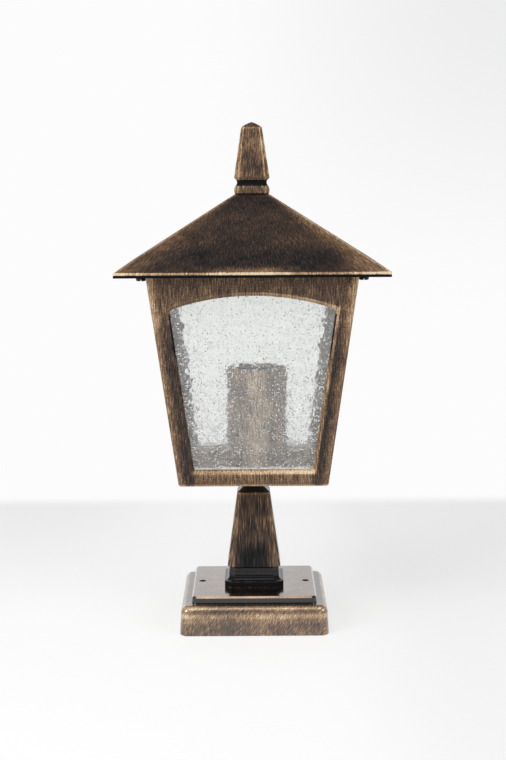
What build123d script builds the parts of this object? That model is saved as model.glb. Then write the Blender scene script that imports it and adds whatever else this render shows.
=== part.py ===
# Pedestal garden lantern: a cast plinth and plate, a tapered post, a glazed housing with leaning faces
# and a pyramid roof that lifts off for changing the lamp.
# Millimetres, +Z up, origin at the middle of the underside of the plinth, front face towards -Y.
from build123d import *
import os
from math import cos, radians, sin, sqrt, tan

# Plinth
PLINTH_WIDTH = 117.3
PLINTH_HEIGHT = 23.3
PLINTH_DRAFT = 3.3
PLINTH_CORNER = 7.0
PLINTH_SHOULDER = 5.0
PLINTH_WALL = 3.0
PLINTH_FOOT_ROUND = 1.0

# Flange plate and its anchor holes
PLATE_WIDTH = 98.5
PLATE_THICKNESS = 6.0
PLATE_CORNER = 4.0
PLATE_BEVEL = 1.3
ANCHOR_MARGIN = 7.25
ANCHOR_HOLE = 5.5
ANCHOR_BOSS = 11.0

# Post, from the plate upwards
POST_BASE_WIDTH = 47.2
POST_BASE_HEIGHT = 5.2
POST_STEP = 0.7
POST_COVE_HEIGHT = 4.5
POST_COVE_DEPTH = 1.2
POST_BAND_WIDTH = 40.0
POST_BAND_HEIGHT = 2.4
POST_NECK_WIDTH = 38.6
POST_NECK_HEIGHT = 3.2
POST_FLARE_HEIGHT = 1.35
POST_SHAFT_FOOT = 42.5
POST_SHAFT_TOP = 26.2
POST_SHAFT_HEIGHT = 59.0
POST_SLOPE_HEIGHT = 4.3
POST_COLLAR_WIDTH = 16.8
POST_COLLAR_HEIGHT = 10.1
POST_CORNER_CUT = 0.23
POST_EDGE_ROUND = 0.5
POST_HOLLOW_FOOT = 32.0
POST_HOLLOW_TOP = 14.0

# Lantern housing
BODY_FOOT_WIDTH = 116.1
BODY_HEIGHT = 167.15
BODY_LEAN = 7.64
BODY_WALL = 3.5
BODY_FLOOR = 3.5
BODY_CORNER = 2.6
BODY_FOOT_ROUND = 1.5

# Arched windows, measured up the leaning face
WINDOW_SILL = 12.8
WINDOW_STILE = 13.8
WINDOW_HEAD_RAIL = 18.6
WINDOW_RISE = 10.8
WINDOW_TOP_ROUND = 4.0
WINDOW_FOOT_ROUND = 1.2
WINDOW_BEVEL = 2.3

# Glass panes, their rib on the floor and their clips
GLASS_THICKNESS = 3.0
GLASS_PLAY = 0.3
GLASS_OVERLAP = 4.0
GLASS_CORNER_GAP = 0.8
RIB_THICKNESS = 2.0
CLIP_OFFSET = 45.0
CLIP_WIDTH = 9.0
CLIP_REACH = 4.5
CLIP_THICKNESS = 1.0
CLIP_BOSS = 6.0
CLIP_SCREW = 2.5
CLIP_SCREW_LENGTH = 5.0
CLIP_HEAD = 5.0
CLIP_HEAD_HEIGHT = 1.8

# Roof
ROOF_WIDTH = 204.2
ROOF_LIP = 3.7
ROOF_PITCH = 32.33
ROOF_TOP_WIDTH = 28.0
ROOF_TOP_THICKNESS = 4.0
ROOF_WALL = 2.5
ROOF_EDGE_ROUND = 1.2
ROOF_OVERLAP = 3.0
SEAL_THICKNESS = 1.5
SEAL_MARGIN = 0.4

# Roof screws and the ears that they pass through; the share is how far out they stand in the overhang
ROOF_SCREW_SHARE = 0.39
ROOF_SCREW = 4.0
ROOF_SCREW_PLAY = 0.1
ROOF_SCREW_LENGTH = 12.0
ROOF_SCREW_END_GAP = 1.0
ROOF_SCREW_HEAD = 8.0
ROOF_SCREW_HEAD_HEIGHT = 2.6
ROOF_BOSS = 9.0
EAR_DROP = 5.55
EAR_THICKNESS = 3.5
EAR_WIDTH = 12.0
EAR_HOLE = 4.4
DRIVE_SLOT = 1.0

# Finial and its stud
FINIAL_COLLAR_WIDTH = 27.8
FINIAL_COLLAR_HEIGHT = 6.8
FINIAL_GROOVE_WIDTH = 23.4
FINIAL_GROOVE_HEIGHT = 4.8
FINIAL_FOOT_WIDTH = 27.9
FINIAL_TOP_WIDTH = 16.2
FINIAL_TAPER_HEIGHT = 40.7
FINIAL_TIP_HEIGHT = 4.35
FINIAL_TIP_BULGE = 0.45
FINIAL_COLLAR_BULGE = 1.0
FINIAL_FOOT_EASE = 1.6
FINIAL_EDGE_ROUND = 0.6
FINIAL_CORNER_CUT = 0.24
STUD = 6.0
STUD_PLAY = 0.05
STUD_IN_FINIAL = 18.0
STUD_LENGTH = 34.0
STUD_NUT = 10.0
STUD_NUT_HEIGHT = 5.0
STUD_WASHER = 16.0

# Hollow tie rod with its nuts and washers
ROD = 10.0
ROD_BORE = 7.0
ROD_PLAY = 0.3
ROD_NUT = 17.0
ROD_NUT_HEIGHT = 5.0
ROD_NUT_PLAY = 0.05
ROD_WASHER = 21.0
WASHER_THICKNESS = 1.5
ROD_STICK_OUT = 2.0

# Lamp sleeve: a loose tube, standing a little to the right of the lampholder it hides
SLEEVE = 48.0
SLEEVE_WALL = 1.2
SLEEVE_HEIGHT = 83.2
SLEEVE_SHIFT = 3.0
SLEEVE_LIP_ROUND = 1.0

# Screw lampholder
HOLDER = 38.6
HOLDER_WALL = 2.5
HOLDER_DROP = 2.0
HOLDER_LIP = 3.5
HOLDER_LIP_BORE = 29.2
HOLDER_CAP_HEIGHT = 17.0
HOLDER_BUSH = 18.0
HOLDER_BUSH_HEIGHT = 10.0
HOLDER_RIM_HEIGHT = 2.5
INSERT_HEIGHT = 18.0
INSERT_FLOOR = 10.0
INSERT_RECESS = 26.0
INSERT_PLAY = 0.1
SHELL_BORE = 26.6
SHELL_WALL = 0.7
SHELL_LENGTH = 24.0
SHELL_BASE_HOLE = 12.0
SHELL_STEP = 1.3
SHELL_STEP_HEIGHT = 7.2

# Lampholder contacts
CONTACT_PIN = 3.2
CONTACT_PLAY = 0.05
CONTACT_HEAD = 8.0
CONTACT_HEAD_HEIGHT = 1.8
CONTACT_LIFT = 4.0
CONTACT_END = 5.2
CONTACT_END_HEIGHT = 1.2
CONTACT_SPRING_FOOT = 10.0
CONTACT_SPRING_WALL = 0.5
BUSH = 6.4
BUSH_FLANGE_HEIGHT = 1.5
TERMINAL_OFFSET = 9.5
TERMINAL_WIDTH = 5.0
TERMINAL_HEIGHT = 5.5
SHELL_SCREW = 3.0
SHELL_SCREW_HEAD = 5.0
SHELL_SCREW_HEAD_HEIGHT = 1.6
SMALL_PLAY = 0.1

# Supply terminals and earth screw under the plinth top
BLOCK_LENGTH = 34.0
BLOCK_DEPTH = 17.0
BLOCK_HEIGHT = 14.0
BLOCK_OFFSET = 30.0
BLOCK_ROUND = 1.5
POLE_SPACING = 10.0
POLE_COUNT = 3
BARREL = 5.2
BARREL_BORE = 3.0
BARREL_LENGTH = 15.0
POLE_SCREW = 2.6
POLE_SCREW_SPACING = 8.0
BLOCK_SCREW = 3.0
BLOCK_SCREW_HEAD = 4.8
BLOCK_SCREW_HEAD_HEIGHT = 1.6
BLOCK_SCREW_GRIP = 2.0
EARTH_X = -28.0
EARTH_Y = 30.0
EARTH_BOSS = 10.0
EARTH_BOSS_HEIGHT = 6.0
EARTH_SCREW = 4.0
EARTH_SCREW_LENGTH = 6.0
EARTH_HEAD = 7.6
EARTH_HEAD_HEIGHT = 2.4
EARTH_WASHER = 9.0
EARTH_WASHER_THICKNESS = 0.9

# Leads through the rod
LEAD = 2.2
LEAD_OFFSET = 1.7
LEAD_LOW = 4.4
LEAD_TAIL = 4.0
LEAD_BEND_SHARE = 0.45

# Levels and sizes that follow from the values above
LEAN = radians(BODY_LEAN)
PITCH = radians(ROOF_PITCH)
PLATE_Z = PLINTH_HEIGHT
CEILING_Z = PLINTH_HEIGHT - PLINTH_WALL
ANCHOR_SPACING = PLATE_WIDTH - 2 * ANCHOR_MARGIN
POST_Z = PLATE_Z + PLATE_THICKNESS
COVE_Z = POST_Z + POST_BASE_HEIGHT
BAND_Z = COVE_Z + POST_COVE_HEIGHT
NECK_Z = BAND_Z + POST_BAND_HEIGHT
FLARE_Z = NECK_Z + POST_NECK_HEIGHT
SHAFT_Z = FLARE_Z + POST_FLARE_HEIGHT
SLOPE_Z = SHAFT_Z + POST_SHAFT_HEIGHT
COLLAR_Z = SLOPE_Z + POST_SLOPE_HEIGHT
BODY_Z = COLLAR_Z + POST_COLLAR_HEIGHT
FLOOR_Z = BODY_Z + BODY_FLOOR
RIM_Z = BODY_Z + BODY_HEIGHT
SEAT_Z = RIM_Z + SEAL_THICKNESS
EAVE_Z = RIM_Z - ROOF_OVERLAP
LIP_Z = EAVE_Z + ROOF_LIP
ROOF_TOP_Z = LIP_Z + (ROOF_WIDTH - ROOF_TOP_WIDTH) / 2 * tan(PITCH)
ROOF_CEILING_Z = ROOF_TOP_Z - ROOF_TOP_THICKNESS
GROOVE_Z = ROOF_TOP_Z + FINIAL_COLLAR_HEIGHT
TAPER_Z = GROOVE_Z + FINIAL_GROOVE_HEIGHT
TIP_Z = TAPER_Z + FINIAL_TAPER_HEIGHT
EAR_Z = RIM_Z - EAR_DROP
RIM_HALF = BODY_FOOT_WIDTH / 2 + BODY_HEIGHT * tan(LEAN)
ROOF_SCREW_SPACING = 2 * RIM_HALF + ROOF_SCREW_SHARE * (ROOF_WIDTH - 2 * RIM_HALF)
SLEEVE_Z = FLOOR_Z + SLEEVE_HEIGHT
HOLDER_Z = SLEEVE_Z - HOLDER_DROP
SHELL_TOP_Z = HOLDER_Z - HOLDER_LIP
SHELL_Z = SHELL_TOP_Z - SHELL_LENGTH
INSERT_Z = SHELL_Z - INSERT_HEIGHT
RECESS_Z = SHELL_Z - INSERT_FLOOR
CAP_Z = INSERT_Z - HOLDER_CAP_HEIGHT
ROD_TOP_Z = CAP_Z + HOLDER_BUSH_HEIGHT
LOWER_NUT_Z = CEILING_Z - WASHER_THICKNESS - ROD_NUT_HEIGHT
ROD_FOOT_Z = LOWER_NUT_Z - ROD_STICK_OUT
BLOCK_Z = CEILING_Z - BLOCK_HEIGHT
POLE_Z = CEILING_Z - BLOCK_HEIGHT / 2
WINDOW_PEAK = BODY_HEIGHT / cos(LEAN) - WINDOW_HEAD_RAIL
WINDOW_SPRING = WINDOW_PEAK - WINDOW_RISE
PANE_TOP = WINDOW_PEAK + GLASS_OVERLAP
CLIP_HEIGHT = PANE_TOP + GLASS_PLAY + CLIP_BOSS / 2
CLIP_SEAT = BODY_WALL + GLASS_THICKNESS + GLASS_PLAY
SIDES = {"front": 0, "right": 90, "back": 180, "left": 270}


def body_half(z):
    """Half the width of the leaning housing at one level."""
    return BODY_FOOT_WIDTH / 2 + (z - BODY_Z) * tan(LEAN)


def face_plane(turn, depth):
    """A plane behind one leaning face: x runs across, y up the slope from the lower edge, z points out."""
    out = Vector(0, -cos(LEAN), -sin(LEAN)).rotate(Axis.Z, turn)
    across = Vector(1, 0, 0).rotate(Axis.Z, turn)
    foot = Vector(0, -BODY_FOOT_WIDTH / 2, BODY_Z).rotate(Axis.Z, turn)
    return Plane(origin=foot - out * depth, x_dir=across, z_dir=out)


def square_form(outline, corner_cut=0.0):
    """A square form with one outline on all faces: prisms of the outline, crossed and kept where they meet.

    The outline is a function that draws the right half at a given reach from the axis. With a corner cut,
    two more prisms at 45 degrees trim each corner by that share of the half width. Each prism is as long
    as the widest piece, so that it passes through the others.
    """
    passes = [(0, 1.0), (90, 1.0)]
    if corner_cut:
        reach = (2 - corner_cut) / sqrt(2)
        passes += [(45, reach), (135, reach)]
    with BuildPart() as form:
        for turn, reach in passes:
            across = Vector(1, 0, 0).rotate(Axis.Z, turn)
            with BuildSketch(Plane(origin=(0, 0, 0), x_dir=across, z_dir=across.cross(Vector(0, 0, 1)))):
                with BuildLine():
                    outline(reach)
                    mirror(about=Plane.YZ)
                make_face()
            extrude(amount=ROOF_WIDTH, both=True, mode=Mode.INTERSECT if turn else Mode.ADD)
    return form.part


def leaning_block(setback, low, high):
    """A square block between two levels, its faces parallel to the housing's and set back from them."""

    def outline(reach):
        inset = setback / cos(LEAN)
        foot = (reach * (body_half(low) - inset), low)
        top = (reach * (body_half(high) - inset), high)
        Polyline((0, low), foot, top, (0, high))

    return square_form(outline)


def save(piece, name):
    """Labels a finished piece and writes it as its own file."""
    piece.part.label = name
    export_step(piece.part, f"parts/{name}.step")


def hex_nut(z, across_flats, height, bore):
    """A hexagon nut with its lower face at a level."""
    with BuildPart() as nut:
        with BuildSketch(Plane.XY.offset(z)):
            RegularPolygon(across_flats / 2, 6, major_radius=False)
            Circle(bore / 2, mode=Mode.SUBTRACT)
        extrude(amount=height)
    return nut


def flat_ring(z, outer, bore, thickness):
    """A round flat ring with its lower face at a level."""
    with BuildPart() as ring:
        with BuildSketch(Plane.XY.offset(z)):
            Circle(outer / 2)
            Circle(bore / 2, mode=Mode.SUBTRACT)
        extrude(amount=thickness)
    return ring


os.makedirs("parts", exist_ok=True)

# Base: the plinth is a hollow casting, open below, with pillars round the anchor holes
with BuildPart() as base_plinth:
    with BuildSketch():
        RectangleRounded(PLINTH_WIDTH, PLINTH_WIDTH, PLINTH_CORNER)
    extrude(amount=PLINTH_HEIGHT, taper=PLINTH_DRAFT)
    fillet(base_plinth.faces().sort_by(Axis.Z)[-1].edges(), PLINTH_SHOULDER)
    fillet(base_plinth.faces().sort_by(Axis.Z)[0].edges(), PLINTH_FOOT_ROUND)
    with BuildSketch():
        inner_width = PLINTH_WIDTH - 2 * PLINTH_WALL
        RectangleRounded(inner_width, inner_width, PLINTH_CORNER - PLINTH_WALL)
    extrude(amount=CEILING_Z, taper=PLINTH_DRAFT, mode=Mode.SUBTRACT)
    with BuildSketch():
        with GridLocations(ANCHOR_SPACING, 0, 2, 1):
            Circle(ANCHOR_BOSS / 2)
    extrude(amount=PLINTH_HEIGHT - PLINTH_WALL / 2)
    with BuildSketch(Plane.XY.offset(CEILING_Z - EARTH_BOSS_HEIGHT)):
        with Locations((EARTH_X, EARTH_Y)):
            Circle(EARTH_BOSS / 2)
    extrude(amount=EARTH_BOSS_HEIGHT + PLINTH_WALL / 2)
    with BuildSketch():
        with GridLocations(ANCHOR_SPACING, 0, 2, 1):
            Circle(ANCHOR_HOLE / 2)
        Circle(ROD / 2 + ROD_PLAY)
    extrude(amount=PLINTH_HEIGHT, mode=Mode.SUBTRACT)
    with BuildSketch(Plane.XY.offset(CEILING_Z - EARTH_BOSS_HEIGHT)):
        with Locations((EARTH_X, EARTH_Y)):
            Circle(EARTH_SCREW / 2 + SMALL_PLAY)
    extrude(amount=EARTH_SCREW_LENGTH, mode=Mode.SUBTRACT)
    with BuildSketch(Plane.XY.offset(CEILING_Z)):
        with Locations((0, BLOCK_OFFSET)):
            with GridLocations(POLE_SPACING, 0, 2, 1):
                Circle(BLOCK_SCREW / 2 + SMALL_PLAY)
    extrude(amount=BLOCK_SCREW_GRIP + SMALL_PLAY, mode=Mode.SUBTRACT)
save(base_plinth, "base_plinth")

with BuildPart() as flange_plate:
    with BuildSketch(Plane.XY.offset(PLATE_Z)):
        RectangleRounded(PLATE_WIDTH, PLATE_WIDTH, PLATE_CORNER)
        with GridLocations(ANCHOR_SPACING, 0, 2, 1):
            Circle(ANCHOR_HOLE / 2, mode=Mode.SUBTRACT)
        Circle(ROD / 2 + ROD_PLAY, mode=Mode.SUBTRACT)
    extrude(amount=PLATE_THICKNESS)
    plate_top = flange_plate.faces().sort_by(Axis.Z)[-1]
    chamfer(plate_top.outer_wire().edges(), PLATE_BEVEL)
save(flange_plate, "flange_plate")


# Post: a base block, a cove, a band and neck, then the tapered shaft, its sloped top and a square collar
def post_outline(reach):
    base = reach * POST_BASE_WIDTH / 2
    cove = reach * (POST_BASE_WIDTH / 2 - POST_STEP)
    band = reach * POST_BAND_WIDTH / 2
    neck = reach * POST_NECK_WIDTH / 2
    shaft_foot = reach * POST_SHAFT_FOOT / 2
    shaft_top = reach * POST_SHAFT_TOP / 2
    collar = reach * POST_COLLAR_WIDTH / 2
    Polyline((0, POST_Z), (base, POST_Z), (base, COVE_Z), (cove, COVE_Z))
    SagittaArc((cove, COVE_Z), (band, BAND_Z), POST_COVE_DEPTH)
    Polyline(
        (band, BAND_Z),
        (band, NECK_Z),
        (neck, NECK_Z),
        (neck, FLARE_Z),
        (shaft_foot, SHAFT_Z),
        (shaft_top, SLOPE_Z),
        (collar, COLLAR_Z),
        (collar, BODY_Z),
        (0, BODY_Z),
    )


post_form = square_form(post_outline, POST_CORNER_CUT)
with BuildPart() as post_column:
    add(post_form)
    fillet(post_column.edges().filter_by(lambda edge: SHAFT_Z < edge.center().Z < SLOPE_Z), POST_EDGE_ROUND)
    hollow_height = SLOPE_Z - POST_Z
    with Locations((0, 0, POST_Z)):
        Cone(
            POST_HOLLOW_FOOT / 2,
            POST_HOLLOW_TOP / 2,
            hollow_height,
            align=(Align.CENTER, Align.CENTER, Align.MIN),
            mode=Mode.SUBTRACT,
        )
    with BuildSketch(Plane.XY.offset(POST_Z)):
        Circle(ROD / 2 + ROD_PLAY)
    extrude(amount=BODY_Z - POST_Z, mode=Mode.SUBTRACT)
save(post_column, "post_column")

# Tie rod: clamps plinth, plate, post and housing floor, and carries the lampholder
tie_rod = flat_ring(ROD_FOOT_Z, ROD, ROD_BORE, ROD_TOP_Z - ROD_FOOT_Z)
save(tie_rod, "tie_rod")
nut_bore = ROD + 2 * ROD_NUT_PLAY
washer_bore = ROD + 2 * ROD_PLAY
save(flat_ring(CEILING_Z - WASHER_THICKNESS, ROD_WASHER, washer_bore, WASHER_THICKNESS), "lower_washer")
save(hex_nut(LOWER_NUT_Z, ROD_NUT, ROD_NUT_HEIGHT, nut_bore), "lower_nut")
save(flat_ring(FLOOR_Z, ROD_WASHER, washer_bore, WASHER_THICKNESS), "upper_washer")
save(hex_nut(FLOOR_Z + WASHER_THICKNESS, ROD_NUT, ROD_NUT_HEIGHT, nut_bore), "upper_nut")
save(hex_nut(CAP_Z - ROD_NUT_HEIGHT, ROD_NUT, ROD_NUT_HEIGHT, nut_bore), "lampholder_locknut")


# Housing: a leaning square shell with a floor, one arched window in each face and two ears for the roof
def window_outline():
    """The opening of a window: a flat sill, sides parallel to the housing's edges and an arched head."""

    def edge(height):
        return BODY_FOOT_WIDTH / 2 + height * sin(LEAN) - WINDOW_STILE

    sill = edge(WINDOW_SILL)
    spring = edge(WINDOW_SPRING)
    Polyline((-spring, WINDOW_SPRING), (-sill, WINDOW_SILL), (sill, WINDOW_SILL), (spring, WINDOW_SPRING))
    ThreePointArc((spring, WINDOW_SPRING), (0, WINDOW_PEAK), (-spring, WINDOW_SPRING))


def outward_window_face(face):
    """True for an outer face of the housing that has a window in it."""
    middle, normal = face.center(), face.normal_at()
    points_out = middle.X * normal.X + middle.Y * normal.Y > 0
    return points_out and len(face.inner_wires()) > 0


rib_setback = BODY_WALL + GLASS_THICKNESS + 2 * GLASS_PLAY
rib_top = BODY_Z + WINDOW_SILL * cos(LEAN) - GLASS_PLAY
body_form = leaning_block(0, BODY_Z, RIM_Z)
body_core = leaning_block(BODY_WALL, FLOOR_Z, RIM_Z)
rib_form = leaning_block(rib_setback, FLOOR_Z, rib_top)
rib_core = leaning_block(rib_setback + RIB_THICKNESS, FLOOR_Z, rib_top)

with BuildPart() as lantern_body:
    add(body_form)
    level_edges = lantern_body.edges().filter_by(GeomType.LINE).filter_by(Plane.XY)
    fillet(lantern_body.edges() - level_edges, BODY_CORNER)
    fillet(lantern_body.faces().sort_by(Axis.Z)[0].edges(), BODY_FOOT_ROUND)
    add(body_core, mode=Mode.SUBTRACT)
    add(rib_form)
    add(rib_core, mode=Mode.SUBTRACT)
    for turn in SIDES.values():
        with BuildSketch(face_plane(turn, 0)) as window:
            with BuildLine():
                window_outline()
            make_face()
            fillet(window.vertices().group_by(Axis.Y)[0], WINDOW_FOOT_ROUND)
            fillet(window.vertices().group_by(Axis.Y)[-1], WINDOW_TOP_ROUND)
        extrude(amount=-(BODY_WALL + GLASS_PLAY), mode=Mode.SUBTRACT)
    window_faces = lantern_body.faces().filter_by(outward_window_face)
    chamfer([edge for face in window_faces for edge in face.inner_wires().edges()], WINDOW_BEVEL)
    with BuildSketch(Plane.XY.offset(EAR_Z - EAR_THICKNESS)):
        for way in (-1, 1):
            root = body_half(EAR_Z) - BODY_WALL / 2
            tip = ROOF_SCREW_SPACING / 2
            with Locations((way * (root + tip) / 2, 0)):
                Rectangle(tip - root, EAR_WIDTH)
            with Locations((way * tip, 0)):
                Circle(EAR_WIDTH / 2)
    extrude(amount=EAR_THICKNESS)
    for turn in SIDES.values():
        with BuildSketch(face_plane(turn, BODY_WALL - GLASS_PLAY)):
            with Locations((-CLIP_OFFSET, CLIP_HEIGHT), (CLIP_OFFSET, CLIP_HEIGHT)):
                Circle(CLIP_BOSS / 2)
        extrude(amount=-(GLASS_THICKNESS + 2 * GLASS_PLAY))
        with BuildSketch(face_plane(turn, CLIP_SEAT)):
            with Locations((-CLIP_OFFSET, CLIP_HEIGHT), (CLIP_OFFSET, CLIP_HEIGHT)):
                Circle(CLIP_SCREW / 2 + SMALL_PLAY)
        extrude(amount=CLIP_SCREW_LENGTH, mode=Mode.SUBTRACT)
    with BuildSketch(Plane.XY.offset(EAR_Z - EAR_THICKNESS)):
        with GridLocations(ROOF_SCREW_SPACING, 0, 2, 1):
            Circle(EAR_HOLE / 2)
    extrude(amount=EAR_THICKNESS, mode=Mode.SUBTRACT)
    with BuildSketch(Plane.XY.offset(BODY_Z)):
        Circle(ROD / 2 + ROD_PLAY)
    extrude(amount=BODY_FLOOR, mode=Mode.SUBTRACT)
save(lantern_body, "lantern_body")

# Panes: each stands on the floor between the wall and the rib, and two clips hold its head
pane_foot = (BODY_FLOOR + GLASS_PLAY - BODY_WALL * sin(LEAN)) / cos(LEAN)
pane_setback = (BODY_WALL + GLASS_THICKNESS) / cos(LEAN) + GLASS_CORNER_GAP
for side, turn in SIDES.items():
    with BuildPart() as pane:
        with BuildSketch(face_plane(turn, BODY_WALL)):
            foot_half = BODY_FOOT_WIDTH / 2 + pane_foot * sin(LEAN) - pane_setback
            top_half = BODY_FOOT_WIDTH / 2 + PANE_TOP * sin(LEAN) - pane_setback
            with BuildLine():
                Polyline(
                    (-foot_half, pane_foot),
                    (foot_half, pane_foot),
                    (top_half, PANE_TOP),
                    (-top_half, PANE_TOP),
                    close=True,
                )
            make_face()
        extrude(amount=-GLASS_THICKNESS)
    save(pane, f"glass_{side}")

clip_top = CLIP_HEIGHT + CLIP_BOSS / 2
clip_foot = PANE_TOP - CLIP_REACH
with BuildPart() as glass_clips:
    for turn in SIDES.values():
        with BuildSketch(face_plane(turn, CLIP_SEAT)):
            for x in (-CLIP_OFFSET, CLIP_OFFSET):
                with Locations((x, (clip_foot + clip_top) / 2)):
                    Rectangle(CLIP_WIDTH, clip_top - clip_foot)
                with Locations((x, CLIP_HEIGHT)):
                    Circle(CLIP_SCREW / 2 + SMALL_PLAY, mode=Mode.SUBTRACT)
        extrude(amount=-CLIP_THICKNESS)
save(glass_clips, "glass_clips")

with BuildPart() as glass_clip_screws:
    for turn in SIDES.values():
        with BuildSketch(face_plane(turn, CLIP_SEAT + CLIP_THICKNESS)):
            with Locations((-CLIP_OFFSET, CLIP_HEIGHT), (CLIP_OFFSET, CLIP_HEIGHT)):
                Circle(CLIP_HEAD / 2)
        extrude(amount=-CLIP_HEAD_HEIGHT)
        with BuildSketch(face_plane(turn, CLIP_SEAT + CLIP_THICKNESS)):
            with Locations((-CLIP_OFFSET, CLIP_HEIGHT), (CLIP_OFFSET, CLIP_HEIGHT)):
                Circle(CLIP_SCREW / 2)
        extrude(amount=CLIP_SCREW_LENGTH)
save(glass_clip_screws, "glass_clip_screws")

# Roof: a pyramid shell with a square seat wall inside that lands on the seal, and a boss for each screw
roof_half = ROOF_WIDTH / 2
slope_inset = ROOF_WALL / sin(PITCH)
lip_inner = roof_half - ROOF_WALL
rim_inner = RIM_HALF - BODY_WALL / cos(LEAN)


def roof_outline(reach):
    edge = reach * roof_half
    top = reach * ROOF_TOP_WIDTH / 2
    Polyline((0, EAVE_Z), (edge, EAVE_Z), (edge, LIP_Z), (top, ROOF_TOP_Z), (0, ROOF_TOP_Z))


def roof_core_outline(reach):
    turn_z = LIP_Z + (roof_half - slope_inset - lip_inner) * tan(PITCH)
    top = roof_half - slope_inset - (ROOF_CEILING_Z - LIP_Z) / tan(PITCH)
    Polyline(
        (0, EAVE_Z),
        (reach * lip_inner, EAVE_Z),
        (reach * lip_inner, turn_z),
        (reach * top, ROOF_CEILING_Z),
        (0, ROOF_CEILING_Z),
    )


roof_form = square_form(roof_outline)
roof_core_form = square_form(roof_core_outline)
with BuildPart() as roof_core:
    add(roof_core_form)
    with BuildSketch(Plane.XY.offset(SEAT_Z)):
        Rectangle(2 * RIM_HALF, 2 * RIM_HALF)
        Rectangle(2 * rim_inner, 2 * rim_inner, mode=Mode.SUBTRACT)
        with GridLocations(ROOF_SCREW_SPACING, 0, 2, 1):
            Circle(ROOF_BOSS / 2)
    extrude(amount=ROOF_CEILING_Z - SEAT_Z, mode=Mode.SUBTRACT)

with BuildPart() as roof:
    add(roof_form)
    fillet(roof.edges().filter_by(lambda edge: edge.center().Z > EAVE_Z + ROOF_LIP / 2), ROOF_EDGE_ROUND)
    add(roof_core.part, mode=Mode.SUBTRACT)
    with BuildSketch(Plane.XY.offset(EAR_Z)):
        with GridLocations(ROOF_SCREW_SPACING, 0, 2, 1):
            Circle(ROOF_BOSS / 2)
    extrude(amount=SEAT_Z - EAR_Z + SEAL_THICKNESS)
    with BuildSketch(Plane.XY.offset(EAR_Z)):
        with GridLocations(ROOF_SCREW_SPACING, 0, 2, 1):
            Circle(ROOF_SCREW / 2 + ROOF_SCREW_PLAY)
    extrude(amount=ROOF_SCREW_LENGTH - EAR_THICKNESS + ROOF_SCREW_END_GAP, mode=Mode.SUBTRACT)
    with BuildSketch(Plane.XY.offset(ROOF_CEILING_Z)):
        Circle(STUD / 2 + ROD_PLAY)
    extrude(amount=ROOF_TOP_THICKNESS, mode=Mode.SUBTRACT)
save(roof, "roof")

with BuildPart() as roof_seal:
    with BuildSketch(Plane.XY.offset(RIM_Z)):
        seal_outer = 2 * (RIM_HALF - SEAL_MARGIN)
        seal_inner = 2 * (rim_inner + SEAL_MARGIN)
        Rectangle(seal_outer, seal_outer)
        Rectangle(seal_inner, seal_inner, mode=Mode.SUBTRACT)
    extrude(amount=SEAL_THICKNESS)
save(roof_seal, "roof_seal")

for side, x in (("left", -ROOF_SCREW_SPACING / 2), ("right", ROOF_SCREW_SPACING / 2)):
    head_z = EAR_Z - EAR_THICKNESS
    with BuildPart() as roof_screw:
        with BuildSketch(Plane.XY.offset(head_z)):
            with Locations((x, 0)):
                Circle(ROOF_SCREW / 2)
        extrude(amount=ROOF_SCREW_LENGTH)
        with BuildSketch(Plane.XY.offset(head_z - ROOF_SCREW_HEAD_HEIGHT)):
            with Locations((x, 0)):
                Circle(ROOF_SCREW_HEAD / 2)
        extrude(amount=ROOF_SCREW_HEAD_HEIGHT)
        fillet(roof_screw.edges().sort_by(Axis.Z)[0], ROOF_SCREW_HEAD_HEIGHT / 2)
        with BuildSketch(Plane.XY.offset(head_z - ROOF_SCREW_HEAD_HEIGHT)):
            with Locations((x, 0)):
                Rectangle(DRIVE_SLOT, ROOF_SCREW_HEAD)
        extrude(amount=ROOF_SCREW_HEAD_HEIGHT / 2, mode=Mode.SUBTRACT)
    save(roof_screw, f"roof_screw_{side}")


# Finial: a square collar, a hollow groove, a tapered body and a low rounded tip
def finial_outline(reach):
    collar = reach * FINIAL_COLLAR_WIDTH / 2
    collar_edge = reach * (FINIAL_COLLAR_WIDTH / 2 - FINIAL_COLLAR_BULGE)
    groove = reach * FINIAL_GROOVE_WIDTH / 2
    foot = reach * FINIAL_FOOT_WIDTH / 2
    foot_edge = reach * (FINIAL_FOOT_WIDTH / 2 - FINIAL_FOOT_EASE)
    top = reach * FINIAL_TOP_WIDTH / 2
    Line((0, ROOF_TOP_Z), (collar_edge, ROOF_TOP_Z))
    ThreePointArc(
        (collar_edge, ROOF_TOP_Z),
        (collar, (ROOF_TOP_Z + GROOVE_Z) / 2),
        (collar_edge, GROOVE_Z),
    )
    ThreePointArc(
        (collar_edge, GROOVE_Z),
        (groove, (GROOVE_Z + TAPER_Z) / 2),
        (foot_edge, TAPER_Z),
    )
    Polyline((foot_edge, TAPER_Z), (foot, TAPER_Z + FINIAL_FOOT_EASE), (top, TIP_Z))
    SagittaArc((top, TIP_Z), (0, TIP_Z + FINIAL_TIP_HEIGHT), -FINIAL_TIP_BULGE)


finial_form = square_form(finial_outline, FINIAL_CORNER_CUT)
with BuildPart() as finial:
    add(finial_form)
    fillet(finial.edges().filter_by(lambda edge: TAPER_Z < edge.center().Z < TIP_Z), FINIAL_EDGE_ROUND)
    with BuildSketch(Plane.XY.offset(ROOF_TOP_Z)):
        Circle(STUD / 2 + STUD_PLAY)
    extrude(amount=STUD_IN_FINIAL, mode=Mode.SUBTRACT)
save(finial, "finial")

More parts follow.
